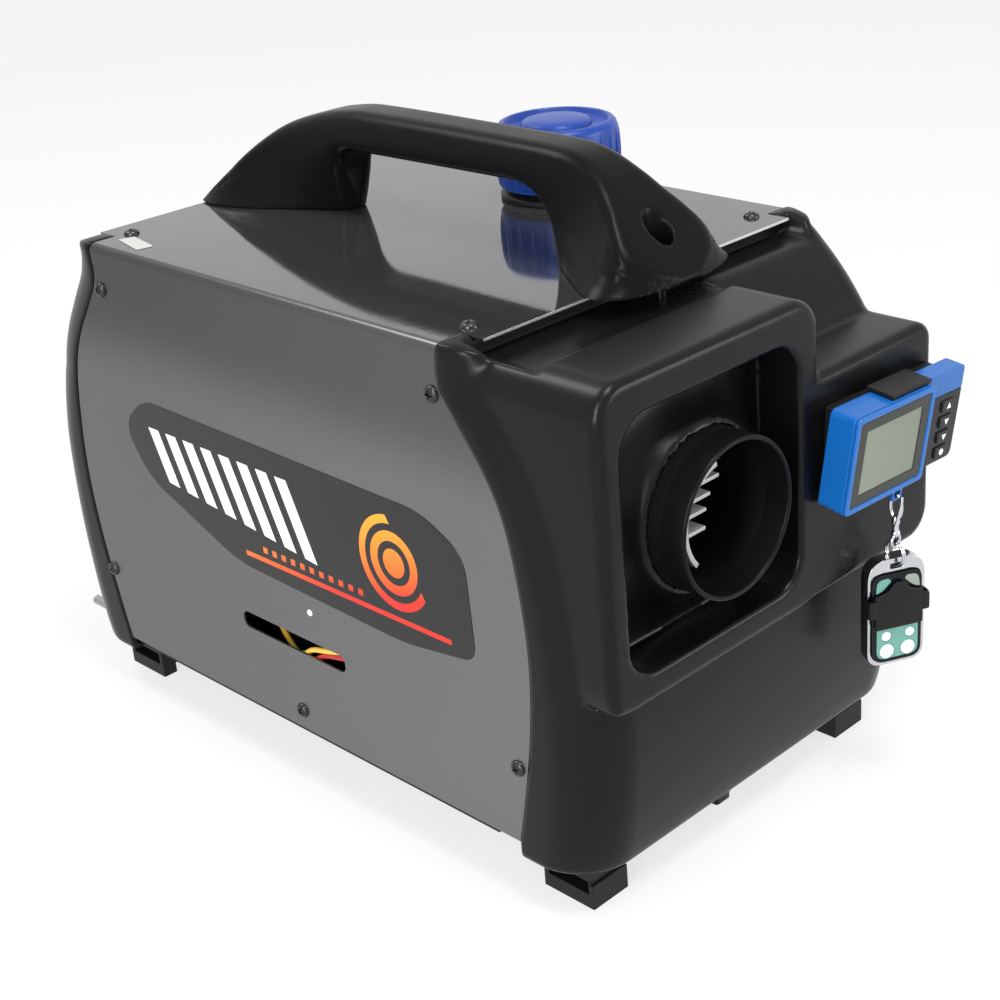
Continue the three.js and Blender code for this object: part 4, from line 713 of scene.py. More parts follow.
class Reading:
    """A number that varies over a surface. Python's operators add Math nodes to it."""

    def __init__(self, finish, socket):
        self.finish = finish
        self.socket = socket

    def math(self, operation, *values, clamp=False):
        inputs = dict(enumerate((self, *values)))
        made = self.finish.node("ShaderNodeMath", {"operation": operation, "use_clamp": clamp}, inputs)
        return Reading(self.finish, made.outputs[0])

    def swapped(self, operation, value):
        made = self.finish.node("ShaderNodeMath", {"operation": operation}, {0: value, 1: self})
        return Reading(self.finish, made.outputs[0])

    def __add__(self, other):
        return self.math("ADD", other)

    def __sub__(self, other):
        return self.math("SUBTRACT", other)

    def __mul__(self, other):
        return self.math("MULTIPLY", other)

    def __truediv__(self, other):
        return self.math("DIVIDE", other)

    def __lt__(self, other):
        return self.math("LESS_THAN", other)

    def __gt__(self, other):
        return self.math("GREATER_THAN", other)

    def __mod__(self, other):
        return self.math("FLOORED_MODULO", other)

    def __abs__(self):
        return self.math("ABSOLUTE")

    def __rsub__(self, other):
        return self.swapped("SUBTRACT", other)

    __radd__ = __add__
    __rmul__ = __mul__

    def clamped(self):
        return self.math("ADD", 0.0, clamp=True)

    def ramp(self, low, high):
        """Runs smoothly from 0 at low to 1 at high."""
        made = self.finish.node(
            "ShaderNodeMapRange", {"interpolation_type": "SMOOTHSTEP", "clamp": True},
            {"Value": self, "From Min": low, "From Max": high})
        return Reading(self.finish, made.outputs["Result"])


class Finish:
    """A material in the making: constants on the shader's own sockets, readings on a few."""

    def __init__(self, name, colour, roughness, metallic=0.0, **fixed):
        self.material = bpy.data.materials.new(name)
        self.material.use_nodes = True
        self.tree = self.material.node_tree
        self.shader = self.tree.nodes["Principled BSDF"]
        self.feed(self.shader.inputs["Base Color"], self.rgba(colour))
        self.feed(self.shader.inputs["Roughness"], roughness)
        self.feed(self.shader.inputs["Metallic"], metallic)
        for label, value in fixed.items():
            self.feed(self.shader.inputs[label.replace("_", " ")], value)
        self.bump = None  # the last relief's normal

    @staticmethod
    def rgba(colour):
        return (*tuple(colour)[:3], 1.0)

    def node(self, kind, settings=None, inputs=None):
        return add_node(self.tree, kind, settings, inputs)

    def feed(self, socket, value):
        feed(self.tree, socket, value)

    def point(self):
        return self.node("ShaderNodeTexCoord").outputs["Object"]

    def axes(self):
        """x, y and z of the surface point, in metres."""
        apart = self.node("ShaderNodeSeparateXYZ", None, {"Vector": self.point()})
        return [Reading(self, apart.outputs[i]) for i in range(3)]

    def noise(self, width, detail=2.0, roughness=0.5, stretch=None):
        """Cloud noise with features about as wide as width, in metres."""
        where = self.point()
        if stretch:
            where = self.node("ShaderNodeMapping", None, {"Vector": where, "Scale": stretch}).outputs[0]
        made = self.node("ShaderNodeTexNoise", None, {
            "Vector": where, "Scale": 1 / width, "Detail": detail, "Roughness": roughness})
        return Reading(self, made.outputs["Fac"])

    def specks(self, width, size):
        """1 in small round specks that lie about width apart."""
        made = self.node("ShaderNodeTexVoronoi", None, {"Vector": self.point(), "Scale": 1 / width})
        return Reading(self, made.outputs["Distance"]) < size

    def mix(self, share, first, second):
        made = self.node("ShaderNodeMix", {"data_type": "RGBA"})
        self.feed(made.inputs[0], share)
        self.feed(made.inputs[6], self.rgba(first) if isinstance(first, (tuple, list)) else first)
        self.feed(made.inputs[7], self.rgba(second) if isinstance(second, (tuple, list)) else second)
        return made.outputs[2]

    def paint(self, colour):
        self.feed(self.shader.inputs["Base Color"], colour)

    def rough(self, reading):
        self.feed(self.shader.inputs["Roughness"], reading)

    def relief(self, reading, depth, strength=1.0):
        made = self.node("ShaderNodeBump", None, {"Height": reading, "Distance": depth, "Strength": strength})
        if self.bump is not None:
            self.feed(made.inputs["Normal"], self.bump)
        self.bump = made.outputs[0]
        self.feed(self.shader.inputs["Normal"], self.bump)


def tinted(colour, factor):
    return tuple(min(1.0, c * factor) for c in tuple(colour)[:3])


def plastic(name, colour, roughness, grain=0.0011, depth=0.00004, spread=0.10, dust=0.0, shine=0.5):
    """Moulded plastic: fine grain, uneven gloss, a little lint."""
    made = Finish(name, colour, roughness, Specular_IOR_Level=shine)
    cloud = made.noise(0.05, 3.0)
    fine = made.noise(grain, 2.0, 0.6)
    made.rough(cloud * spread + fine * (spread * 0.5) + (roughness - spread * 0.75))
    body = made.mix(cloud, tinted(colour, 0.86), tinted(colour, 1.16))
    if dust:
        lint = made.specks(0.018, 0.022) * made.noise(0.03, 1.0).ramp(0.5, 0.6)
        body = made.mix(lint * dust, body, (0.35, 0.35, 0.36))
    made.paint(body)
    made.relief(fine, depth)
    return made.material


def metal(name, colour, roughness, depth=0.00002, metallic=1.0):
    """Bare metal: fine grain and uneven polish."""
    made = Finish(name, colour, roughness, metallic)
    grain = made.noise(0.0012, 3.0, 0.6)
    cloud = made.noise(0.03, 2.0)
    made.rough(grain * 0.10 + cloud * 0.10 + (roughness - 0.10))
    made.paint(made.mix(cloud, tinted(colour, 0.82), tinted(colour, 1.1)))
    made.relief(grain, depth)
    return made.material


def rubber(name, colour, roughness=0.7, grain=0.0007):
    made = Finish(name, colour, roughness)
    fine = made.noise(grain, 3.0, 0.7)
    cloud = made.noise(0.02, 2.0)
    made.rough(cloud * 0.12 + (roughness - 0.06))
    made.paint(made.mix(cloud, tinted(colour, 0.8), tinted(colour, 1.25)))
    made.relief(fine, 0.00003)
    return made.material


def coated_sheet(name, colour):
    """Grey coated sheet: near mirror on top, soft orange peel, smudges, scuffs, bare cut edge at the front
    lip painted bright as a highlight; painted shade darkens the sides towards their top and rear, and the
    flat top overall.
    """
    made = Finish(name, colour, 0.2, 0.82)
    x, y, z = made.axes()
    cloud = made.noise(0.09, 2.0)
    peel = made.noise(0.0022, 2.0, 0.4)
    wave = made.noise(0.06, 1.0)
    smudge = made.noise(0.035, 4.0, 0.6).ramp(0.5, 0.72)
    flat_top = (z > (CASE_TOP - 0.6) * MM) * (abs(x) < (CASE_HALF - SHEET_BEND + 0.1) * MM)
    scratch = made.noise(0.0015, 2.0, 0.6, (1.0, 0.04, 1.0)).ramp(0.72, 0.77)
    scratch = scratch * made.noise(0.05, 1.0).ramp(0.56, 0.66)
    made.rough((1 - flat_top) * 0.20 + cloud * 0.03 + smudge * 0.03 + 0.04)
    side = made.mix(cloud, tinted(colour, 0.95), tinted(colour, 1.10))
    # painted shade: the sides darken towards their top band and towards the rear
    painted_shade = (z + cloud * 0.012).ramp(0.205, 0.252) * 0.60 + (y + cloud * 0.03).ramp(-0.14, 0.2) * 0.36
    side = made.mix(painted_shade, side, tinted(colour, 0.30))
    # painted shade: the flat top gets a darker copy of the sheet colour than the sides
    top = made.mix(cloud, tinted(colour, 0.80), tinted(colour, 0.95))
    tone = made.mix(flat_top, side, top)
    tone = made.mix(scratch * 0.10, tone, (0.42, 0.43, 0.45))
    # bare metal at the front lip's cut edge, painted extra bright as a highlight line
    bare_edge_highlight = (y < (FRAME_SHIFT - LIP_REACH + 0.35) * MM) * (z > (CASE_TOP - 2 * SHEET) * MM)
    made.paint(made.mix(bare_edge_highlight, tone, (0.60, 0.60, 0.60)))
    made.relief(wave, 0.00012, 0.5)
    made.relief(peel, 0.000012)
    return made.material


def label_finish(name, middle):
    """Generic graphic on a dark plate: pale slanted bars, warm rings, a dotted row and a warm rule."""
    dark, pale = (0.010, 0.010, 0.011), (0.80, 0.80, 0.78)
    yellow, red = (0.90, 0.42, 0.02), (0.55, 0.02, 0.008)
    pitch, lean = 15.5, 0.42
    made = Finish(name, dark, 0.32, Specular_IOR_Level=0.3)
    y, z = made.axes()[1:]
    along = (middle[0] * MM - y) * 1000
    up = (z - middle[1] * MM) * 1000
    slant = (along + up * lean + 150) / pitch
    bars = (abs(slant % 1.0 - 0.5) < 0.29) * (slant > 3.0) * (slant < 11.0)
    bars = bars * (up < 25) * (up > along * -0.10 - 14)
    right, high = along - 84, up - 3
    radius = (right * right + high * high).math("SQRT")
    rings = (radius < 7.5) + (abs(radius - 14.0) < 2.6)
    rings = rings + (abs(radius - 22.5) < 2.2) * (right + high * 0.6 < 12)
    rule = (abs(up + 27) < 1.4) * (abs(along - 42) < 78)
    dots = (abs((along / 7.5 + 40) % 1.0 - 0.5) < 0.24) * (abs(up + 21) < 1.7)
    dots = dots * (abs(along - 19) < 41)
    share = (up * 0.018 + along * -0.004 + 0.62).clamped()
    warm = made.mix(share, red, yellow)
    shown = made.mix(bars.clamped(), dark, pale)
    fine = made.noise(0.0016, 2.0)
    made.paint(made.mix((rings + rule + dots).clamped(), shown, warm))
    made.rough(fine * 0.08 + 0.28)
    made.relief(fine, 0.00001)
    return made.material


MATERIALS = {}


def materials(colours, sizes):
    """Every finish once, by the name of its slot or piece."""
    if MATERIALS:
        return MATERIALS
    grain = sizes.grain
    MATERIALS.update({
        "black_plastic": plastic(
            "moulded_black", colours.plastic, 0.29, grain, 0.00004, 0.12, dust=0.4, shine=0.16),
        "handle_plastic": plastic(
            "handle_black", colours.plastic, 0.30, grain, 0.00004, 0.10, dust=0.2, shine=0.07),
        "dark_plastic": plastic("dark_black", colours.dark, 0.45, grain * 0.8, 0.00005, shine=0.2),
        "black_metal": plastic("powder_black", colours.dark, 0.55, 0.0006, 0.00003, shine=0.25),
        "grey_sheet": coated_sheet("coated_sheet", colours.sheet),
        "steel": metal("plain_steel", (0.36, 0.37, 0.38), 0.34),
        "dark_steel": metal("blackened_screw", (0.05, 0.05, 0.055), 0.28, metallic=0.9),
        "bright_steel": metal("bright_steel", (0.60, 0.61, 0.63), 0.16, depth=0.000006),
        "aluminium": metal("cast_aluminium", (0.62, 0.62, 0.61), 0.38, depth=0.00004),
        "fin_metal": metal("fin_aluminium", (0.40, 0.40, 0.39), 0.30, depth=0.00002, metallic=0.35),
        "tank_plastic": plastic("tank_plastic", (0.66, 0.65, 0.60), 0.5, 0.002, 0.00003),
        "rubber": rubber("key_rubber", (0.012, 0.012, 0.013)),
        "cap_blue": plastic("fuel_cap_blue", colours.fuel_cap, 0.34, 0.0009, 0.00003, 0.10, shine=0.3),
        "controller_blue": plastic(
            "controller_blue", colours.controller, 0.28, 0.0009, 0.00002, 0.08, shine=0.35),
        "hose": rubber("fuel_hose", (0.07, 0.16, 0.09), 0.45, 0.002),
        "teal": plastic("fob_teal", colours.teal, 0.34, 0.0006, 0.00001, 0.08),
        "white_rubber": rubber("pale_keys", colours.keys, 0.45),
        "yellow_lead": plastic("yellow_lead", (0.76, 0.50, 0.06), 0.4, 0.003, 0.00001),
        "red_lead": plastic("red_lead", (0.40, 0.015, 0.01), 0.4, 0.003, 0.00001),
        "gloss_black": plastic("gloss_black", (0.004, 0.006, 0.007), 0.16, 0.0008, 0.00001, 0.06, shine=0.2),
        "collar": collar_finish("collar_black", colours.plastic),
        "bezel": plastic("screen_surround", (0.020, 0.023, 0.019), 0.30, 0.0009, 0.00001, 0.08, shine=0.25),
        "white_mark": plastic("white_mark", (0.80, 0.80, 0.78), 0.5, 0.0006, 0.00001, 0.06),
        "sticker": plastic("plain_sticker", (0.44, 0.44, 0.42), 0.45, 0.0008, 0.00001, 0.10),
        "grey_lens": plastic("grey_lens", (0.22, 0.25, 0.22), 0.25, 0.001, 0.00001, 0.06),
    })
    MATERIALS["screen"] = display_finish("display", colours.display)
    return MATERIALS


def collar_finish(name, colour):
    """Moulded black like the ends; painted dark as shade deep inside the outlet, and dull there."""
    made = Finish(name, colour, 0.30, Specular_IOR_Level=0.09)
    y = made.axes()[1]
    cloud = made.noise(0.02, 3.0)
    fine = made.noise(0.0011, 2.0, 0.6)
    # painted shade: the wall darkens to near black deep inside the outlet; the same mask raises the roughness
    deep = (y + cloud * 0.002).ramp((FRAME_SHIFT - 223) * MM, (FRAME_SHIFT - 219) * MM)
    shown = made.mix(cloud, tinted(colour, 0.8), tinted(colour, 1.3))
    made.paint(made.mix(deep, shown, (0.002, 0.002, 0.002)))
    made.rough(deep * 0.5 + fine * 0.06 + 0.26)
    made.relief(fine, 0.00003)
    return made.material


def display_finish(name, colour):
    """Unlit display: grey green, a shade darker towards its right edge, behind clear plastic."""
    made = Finish(name, colour, 0.22, Coat_Weight=0.15, Coat_Roughness=0.08)
    side = ((made.axes()[0] * 1000 - 34) / 50).clamped()
    cloud = made.noise(0.02, 2.0)
    made.paint(made.mix(side * 0.55 + cloud * 0.2, tinted(colour, 1.05), tinted(colour, 0.72)))
    made.rough(cloud * 0.08 + 0.18)
    return made.material


def settings():
    """Sizes, colours and finishes as they are set in the scene."""
    scene = bpy.context.scene
    sizes, colours = scene.heater_sizes, scene.heater_colours
    return sizes, colours, materials(colours, sizes)


# -------------------------------------------------------------- node geometry

class Tree:
    """A geometry node tree in the making, with named inputs."""

    def __init__(self, name, wanted):
        self.tree = bpy.data.node_groups.new(name, "GeometryNodeTree")
        add = self.tree.interface.new_socket
        add(name="Geometry", in_out="INPUT", socket_type="NodeSocketGeometry")
        self.named = {
            label: add(name=label, in_out="INPUT", socket_type="NodeSocket" + kind).identifier
            for label, kind in wanted.items()}
        add(name="Geometry", in_out="OUTPUT", socket_type="NodeSocketGeometry")
        self.given = self.node("NodeGroupInput").outputs

    def node(self, kind, settings=None, inputs=None):
        return add_node(self.tree, kind, settings, inputs)

    def scale(self, radius, height):
        """Scale that gives a unit shape the radius and height of two inputs."""
        across = self.given[radius]
        return self.node("ShaderNodeCombineXYZ", None, {
            "X": across, "Y": across, "Z": self.given[height]}).outputs[0]

    def close(self, copies, material):
        """Makes the copies real, gives them their material and hands the tree over."""
        real = self.node("GeometryNodeRealizeInstances", None, {0: copies.outputs[0]})
        done = self.node("GeometryNodeSetMaterial", None, {"Geometry": real.outputs[0], "Material": material})
        self.node("NodeGroupOutput", None, {0: done.outputs[0]})
        return self.tree, self.named


def scatter_tree(name, head, material):
    """Geometry nodes: one head on every point, facing along its own direction, turned at random."""
    tree = Tree(name, {"Head radius": "Float", "Head height": "Float", "Seed": "Int"})
    points = tree.node("GeometryNodeMeshToPoints", None, {"Mesh": tree.given["Geometry"]})
    shape = tree.node("GeometryNodeObjectInfo", None, {"Object": head})
    facing = tree.node("GeometryNodeInputNamedAttribute", {"data_type": "FLOAT_VECTOR"}, {"Name": "facing"})
    stand = tree.node("FunctionNodeAlignRotationToVector", {"axis": "Z"}, {"Vector": facing.outputs[0]})
    turn = tree.node("FunctionNodeRandomValue", {"data_type": "FLOAT"}, {
        3: 2 * math.pi, "Seed": tree.given["Seed"]})
    spin = tree.node("FunctionNodeAxisAngleToRotation", None, {"Axis": (0, 0, 1), "Angle": turn.outputs[1]})
    both = tree.node("FunctionNodeRotateRotation", {"rotation_space": "LOCAL"}, {
        "Rotation": stand.outputs[0], "Rotate By": spin.outputs[0]})
    copies = tree.node("GeometryNodeInstanceOnPoints", None, {
        "Points": points.outputs[0], "Instance": shape.outputs["Geometry"],
        "Rotation": both.outputs[0], "Scale": tree.scale("Head radius", "Head height")})
    return tree.close(copies, material)


def rib_tree(name, material):
    """Geometry nodes: rounded ribs round a circle."""
    tree = Tree(name, {"Ribs": "Int", "Circle radius": "Float", "Rib radius": "Float", "Rib height": "Float"})
    round_line = tree.node("GeometryNodeMeshCircle", None, {
        "Vertices": tree.given["Ribs"], "Radius": tree.given["Circle radius"]})
    rib = tree.node("GeometryNodeMeshUVSphere", None, {"Segments": 12, "Rings": 10})
    copies = tree.node("GeometryNodeInstanceOnPoints", None, {
        "Points": round_line.outputs[0], "Instance": rib.outputs[0],
        "Scale": tree.scale("Rib radius", "Rib height")})
    return tree.close(copies, material)


def grown(made, tree, values):
    """Runs a node tree on an object and keeps the plain mesh."""
    step = made.modifiers.new(tree.name, "NODES")
    step.node_group = tree
    for identifier, value in values.items():
        step[identifier] = value
    return settle(made)


def screw_head():
    """Domed head of radius 1 and height 1 with a cross recess, seated at z 0."""
    rings, segments = 9, 48
    points, faces = [(0, 0, 0.62)], []
    for ring in range(1, rings + 1):
        share = ring / rings
        for s in range(segments):
            angle = 2 * math.pi * s / segments
            x, y = share * math.cos(angle), share * math.sin(angle)
            height = math.sqrt(max(0.0, 1 - share**2 * 0.86)) if ring < rings else 0.12
            arm = min(abs(x), abs(y)) < 0.11 and max(abs(x), abs(y)) < 0.55
            points.append((x, y, height - (0.5 if arm else 0.0)))
    for s in range(segments):
        faces.append((0, 1 + s, 1 + (s + 1) % segments))
    for ring in range(rings - 1):
        for s in range(segments):
            a, b = 1 + ring * segments + s, 1 + ring * segments + (s + 1) % segments
            faces.append((a, a + segments, b + segments, b))
    rim = 1 + (rings - 1) * segments
    base = len(points)
    points += [(math.cos(2 * math.pi * s / segments), math.sin(2 * math.pi * s / segments), -0.1)
               for s in range(segments)]
    for s in range(segments):
        faces.append((rim + s, base + s, base + (s + 1) % segments, rim + (s + 1) % segments))
    faces.append(tuple(base + s for s in reversed(range(segments))))
    return outward(new_object("screw_head", points, faces))


# ----------------------------------------------------------------- operators

class HEATER_OT_housing(bpy.types.Operator):
    """Moulded front and rear end caps"""

    bl_idname = "heater.housing"
    bl_label = "End caps"

    def execute(self, context):
        sizes, _, finishes = settings()
        step = sizes.moulding_step / MM
        self.front(step, finishes)
        self.rear(step, finishes)
        return {"FINISHED"}

    def front(self, step, finishes):
        low, x, w, z, depth, form = cap_fields(CAP_FACE, WING_SHOULDER, step, FRONT_GRID)
        left, right, top, bottom = (BOX[side] for side in ("left", "right", "top", "bottom"))
        block = rounded_box(x, z, (left, bottom, right, top), BOX_CORNER)
        foot = rounded_box(x, z, (left, bottom, right, BOX_FOOT["top"]), BOX_FOOT["corner"])
        arm = rounded_box(x, z, (WING["left"], WING["bottom"], WING["right"], WING["top"]), WING["corner"])
        arm_foot = rounded_box(
            x, z, (WING_FOOT["left"], bottom, WING["right"], WING_FOOT["top"]), WING_FOOT["corner"])
        flat = join(join(join(block, foot), join(arm, arm_foot)), block, WING_FILLET)
        box = corner_field(flat + BOX_EDGE, depth - BOX["front"] + BOX_EDGE, BOX_EDGE)
        form = join(form, np.maximum(box, BOX["back"] - depth), BOX_FILLET)
        groove = rounded_box(
            x, z, (-VALLEY["half"], VALLEY["floor"], VALLEY["half"], VALLEY["floor"] + VALLEY["rise"]),
            VALLEY["corner"])
        groove = np.maximum(groove, between(depth, VALLEY["back"], VALLEY["front"]))
        form = within(form, -groove, MOULDED_EDGE)
        floor = BOX["front"] - POCKET["depth"]
        mouth = rounded_box(
            x, z, (POCKET["left"], POCKET["bottom"], POCKET["right"], POCKET["top"]), POCKET["corner"])
        form = within(form, -np.maximum(mouth, floor - depth), MOULDED_EDGE)
        radius = np.hypot(x - OUTLET_X, z - OUTLET_Z)
        cone = BOSS["radius"] - BOSS["taper"] * (depth - floor) / BOSS["height"]
        cone = (radius - cone) * BOSS["slope"]
        cone = within(cone, between(depth, floor - 10, floor + BOSS["height"]), BOSS["edge"])
        form = rebated(join(form, cone, BOSS["fillet"]), x, z, depth)
        shell = hollowed(form, w)
        shell = np.maximum(shell, -np.maximum(radius - OUTLET_RADIUS - GAP, 150 - depth))
        tab_x, tab_y, tab_z = (between(value, *ends) for value, ends in zip((x, depth, z), FLOOR_TAB))
        shell = np.minimum(shell, np.maximum(tab_x, np.maximum(tab_y, tab_z)))
        cap = moulded("front_housing", shell, low, step, from_edge(-1), CAP_KEEP)
        mount(cap, "case", finishes["black_plastic"], ("front_cap",))

    def rear(self, step, finishes):
        low, x, w, z, depth, form = cap_fields(REAR_FACE, CAP_CORNER, step, REAR_GRID)
        form = rebated(form, x, z, depth)
        radius = np.hypot(x - OUTLET_X, z - OUTLET_Z)
        seat = between(depth, INTAKE_PLANE - CAP_WALL, INTAKE_PLANE + INTAKE_PROUD)
        seat = within(radius - INTAKE_RADIUS - INTAKE_RIM, seat, 1)
        shell = join(hollowed(form, w), seat, 2.0)
        shell = within(shell, -(radius - INTAKE_RADIUS - GAP), 2.0)
        for hole_x, hole_z, hole in (GLAND, DRAIN):
            shell = np.maximum(shell, -(np.hypot(x - hole_x, z - hole_z) - hole - GAP))
        cap = moulded("rear_housing", shell, low, step, from_edge(1), CAP_KEEP)
        mount(cap, "case", finishes["black_plastic"], ("rear_cap",))


class HEATER_OT_cover(bpy.types.Operator):
    """Bent sheet cover with its slots, plate, sticker and leads"""

    bl_idname = "heater.cover"
    bl_label = "Sheet cover"

    def execute(self, context):
        sizes, _, finishes = settings()
        self.sheet(sizes, finishes)
        self.plate(finishes)
        self.leads(finishes)
        return {"FINISHED"}

    def sheet(self, sizes, finishes):
        bend = SHEET_BEND
        rows = np.linspace(SHEET_BOTTOM, CASE_TOP - bend, 64)
        arc = [(CASE_HALF - bend + bend * math.cos(a), CASE_TOP - bend + bend * math.sin(a))
               for a in np.linspace(0, math.pi / 2, 9)[1:]]
        right = [(CASE_HALF, z) for z in rows] + arc
        profile = [(-x, z) for x, z in right]
        profile += [(x, CASE_TOP) for x in (-LIP_HALF, 0.0, LIP_HALF)]
        profile += right[::-1]
        points, faces = [], []
        for x, z in profile:
            edge = float(reach(SHEET_EDGE, min(z, EDGE_READ_TOP)))
            for y in (-edge, -edge / 3, edge / 3, edge):
                points.append((x, y, z))
        for i in range(len(profile) - 1):
            for k in range(3):
                faces.append((4 * i + k, 4 * i + 4 + k, 4 * i + 5 + k, 4 * i + 1 + k))
        lip_rows = [i for i, (x, z) in enumerate(profile) if z == CASE_TOP and abs(x) <= LIP_HALF]
        for end, sign in ((0, -1), (3, 1)):
            start = len(points)
            points += [(profile[i][0], sign * LIP_REACH, CASE_TOP) for i in lip_rows]
            for n in range(len(lip_rows) - 1):
                a, b = 4 * lip_rows[n] + end, 4 * lip_rows[n + 1] + end
                faces.append((a, b, start + n + 1, start + n))
        cover = outward(new_object("cover_skin", place(points), faces))
        up = sum(f.normal.z * f.area for f in cover.data.polygons)
        if up < 0:
            cover.data.flip_normals()
        thick = cover.modifiers.new("sheet", "SOLIDIFY")
        thick.thickness = SHEET * MM
        thick.offset = -1
        settle(cover)
        length, height = sizes.slot_length / MM / 2, sizes.slot_height / MM / 2
        slot = rounded(corners_of(-length, SLOT_Z - height, length, SLOT_Z + height, height * 1.7), 6)
        cut(cover, plate("slot_tool", slot, -CASE_HALF - 3, CASE_HALF + 3, CASE_FRAME, "x"))
        bore = [(0, 270), (FILLER_BORE, 270), (FILLER_BORE, 284), (0, 284)]
        cut(cover, turned("filler_tool", bore, (*FILLER, 0), "z", CASE_FRAME, 48))
        shade(soften(cover, 0.25, 2, 50), 35, flats=True)
        mount(cover, "case", finishes["grey_sheet"], ("cover_sheet",))

    def plate(self, finishes):
        outline = rounded([
            (129, 178, 14), (106, 196, 10), (-112, 192, 12), (-140, 178, 12), (-142, 124, 9),
            (-92, 117, 12), (38, 121, 14), (112, 150, 14)], 8)
        outer = -CASE_HALF - 0.02
        label = plate("side_plate", outline, outer - 0.25, outer, CASE_FRAME, "x")
        finish = label_finish("banded_plate", (-6.0 + FRAME_SHIFT, 156.0))
        mount(shade(soften(label, 0.08, 1)), "case", finish)
        tag = rounded([(-109, 126, 1), (-101, 123, 1), (-105.5, 99, 1), (-114.5, 101, 1)], 3)
        sticker = plate("plain_tag", tag, CASE_TOP + 0.15, CASE_TOP + 0.35, CASE_FRAME, "z")
        mount(shade(sticker), "case", finishes["sticker"])
        dot = turned("side_rivet", [(0, 0), (1.0, 0), (1.6, 0.35), (1.8, 0.9), (0, 0.9)],
                     (-CASE_HALF - 0.9, -18, 109), "x", CASE_FRAME, 24)
        mount(shade(outward(dot)), "case", finishes["white_mark"])

    def leads(self, finishes):
        routes = {
            "lead_yellow": ("yellow_lead", [
                (-79, 81, 83.3), (-79, 81, 86.3), (-82, 76, 91.3), (-98, 50, 84), (-114, 12, 75),
                (-119, -3, 78.5), (-119.3, -12, 84), (-119.3, -24, 87.4), (-118.6, -40, 92),
                (-108, -66, 100), (-94, -84, 118), (-93, -88, 135.4)]),
            "lead_red": ("red_lead", [
                (-85, 81, 83.3), (-85, 81, 85.8), (-89, 77, 88.3), (-102, 44, 80), (-114, 8, 72),
                (-119, -10, 77), (-119.2, -21, 83.4), (-119, -38, 87.8), (-115, -54, 90),
                (-104, -78, 98), (-92, -96, 116), (-91, -100, 135.4)]),
        }
        for node, (finish, route) in routes.items():
            lead = tube(node + "_piece", route, LEAD_RADIUS, CASE_FRAME, 12)
            mount(shade(lead), "case", finishes[finish], (node,))


class HEATER_OT_handle(bpy.types.Operator):
    """Moulded carrying handle and its two bolts"""

    bl_idname = "heater.handle"
    bl_label = "Handle"

    def execute(self, context):
        sizes, _, finishes = settings()
        step = sizes.moulding_step / MM * 0.9
        xs = np.arange(-48, 49, step)
        ys = np.arange(-177, 155, step)
        base = CASE_TOP + GAP
        zs = np.arange(base - 1.5 * step, HANDLE_TOP, step)
        x, y, z = np.meshgrid(xs, ys, zs, indexing="ij", sparse=True)
        form = np.empty((len(xs), len(ys), len(zs)))
        for j, at in enumerate(ys):
            form[:, j, :] = self.section(xs[:, None], zs[None, :], at, base)
        form = within(form, between(y, HANDLE_HEIGHT[0][0] - 0.5, HANDLE_HEIGHT[-1][0] + 0.5), 2.0)
        window = rounded([
            (58, base - 12, 0), (58, 312.5, 14), (-96, 313.5, 46), (-101, base - 12, 0)], 8)
        form = within(form, -outline_field(y, z, window), GRIP_EDGE)
        for bolt in HANDLE_BOLTS:
            bore = np.maximum(np.hypot(x, y - bolt) - HANDLE_BORE, HANDLE_BOLT_SEAT - z)
            form = within(form, -bore, 2.2)
        form = np.maximum(form, base - z)
        made = moulded("handle_grip", form, (xs[0], ys[0], zs[0]), step, lambda p: p, 0.45)
        mount(made, "case", finishes["handle_plastic"], ("handle",))
        for node in ("handle_bolt_front", "handle_bolt_rear"):
            mount(refined(node, 0.3), "case", finishes["dark_steel"], (node,))
        return {"FINISHED"}

    def section(self, x, z, at, base):
        """Field of the cross-section at one place along the handle."""
        height = float(reach(HANDLE_HEIGHT, at))
        low, high = float(reach(HANDLE_FOOT, at)), float(reach(HANDLE_CROWN, at))
        edge = min(HANDLE_ROUND, height * 0.45)
        half = [(low + (high - low) * share, height * rise)
                for share, rise in ((0, -0.02), (0, 0), (0.35, 0.16), (0.68, 0.36), (0.9, 0.6))]
        half += [(high - edge + edge * math.sin(a), height - edge + edge * math.cos(a))
                 for a in np.linspace(math.pi / 2, 0, 6)]
        outline = np.array(half + [(-u, v) for u, v in reversed(half)])
        return outline_field(x, z - base, outline)


class HEATER_OT_screws(bpy.types.Operator):
    """Domed case screws along the sheet's edges"""

    bl_idname = "heater.screws"
    bl_label = "Case screws"

    def execute(self, context):
        sizes, _, finishes = settings()
        sides = [(-129, 253), (129, 253), (-164, 76), (168, 77), (0, 45)]
        spots, facing = [], []
        for side in (-1, 1):
            for y, z in sides:
                spots.append((side * CASE_HALF, y, z))
                facing.append((side, 0, 0))
            for x, y in ((side * 98, -130), (side * 98, 130)):
                spots.append((x, y, CASE_TOP))
                facing.append((0, 0, 1))
        heads = new_object("case_screws", place(spots), [])
        direction = heads.data.attributes.new("facing", "FLOAT_VECTOR", "POINT")
        direction.data.foreach_set("vector", np.array(facing, float).ravel())
        head = screw_head()
        tree, named = scatter_tree("screw_heads", head, finishes["dark_steel"])
        grown(heads, tree, {
            named["Head radius"]: sizes.screw_radius, named["Head height"]: sizes.screw_height,
            named["Seed"]: SCREW_SEED})
        bpy.data.objects.remove(head)
        mount(shade(heads, 35), "case", finishes["dark_steel"])
        return {"FINISHED"}


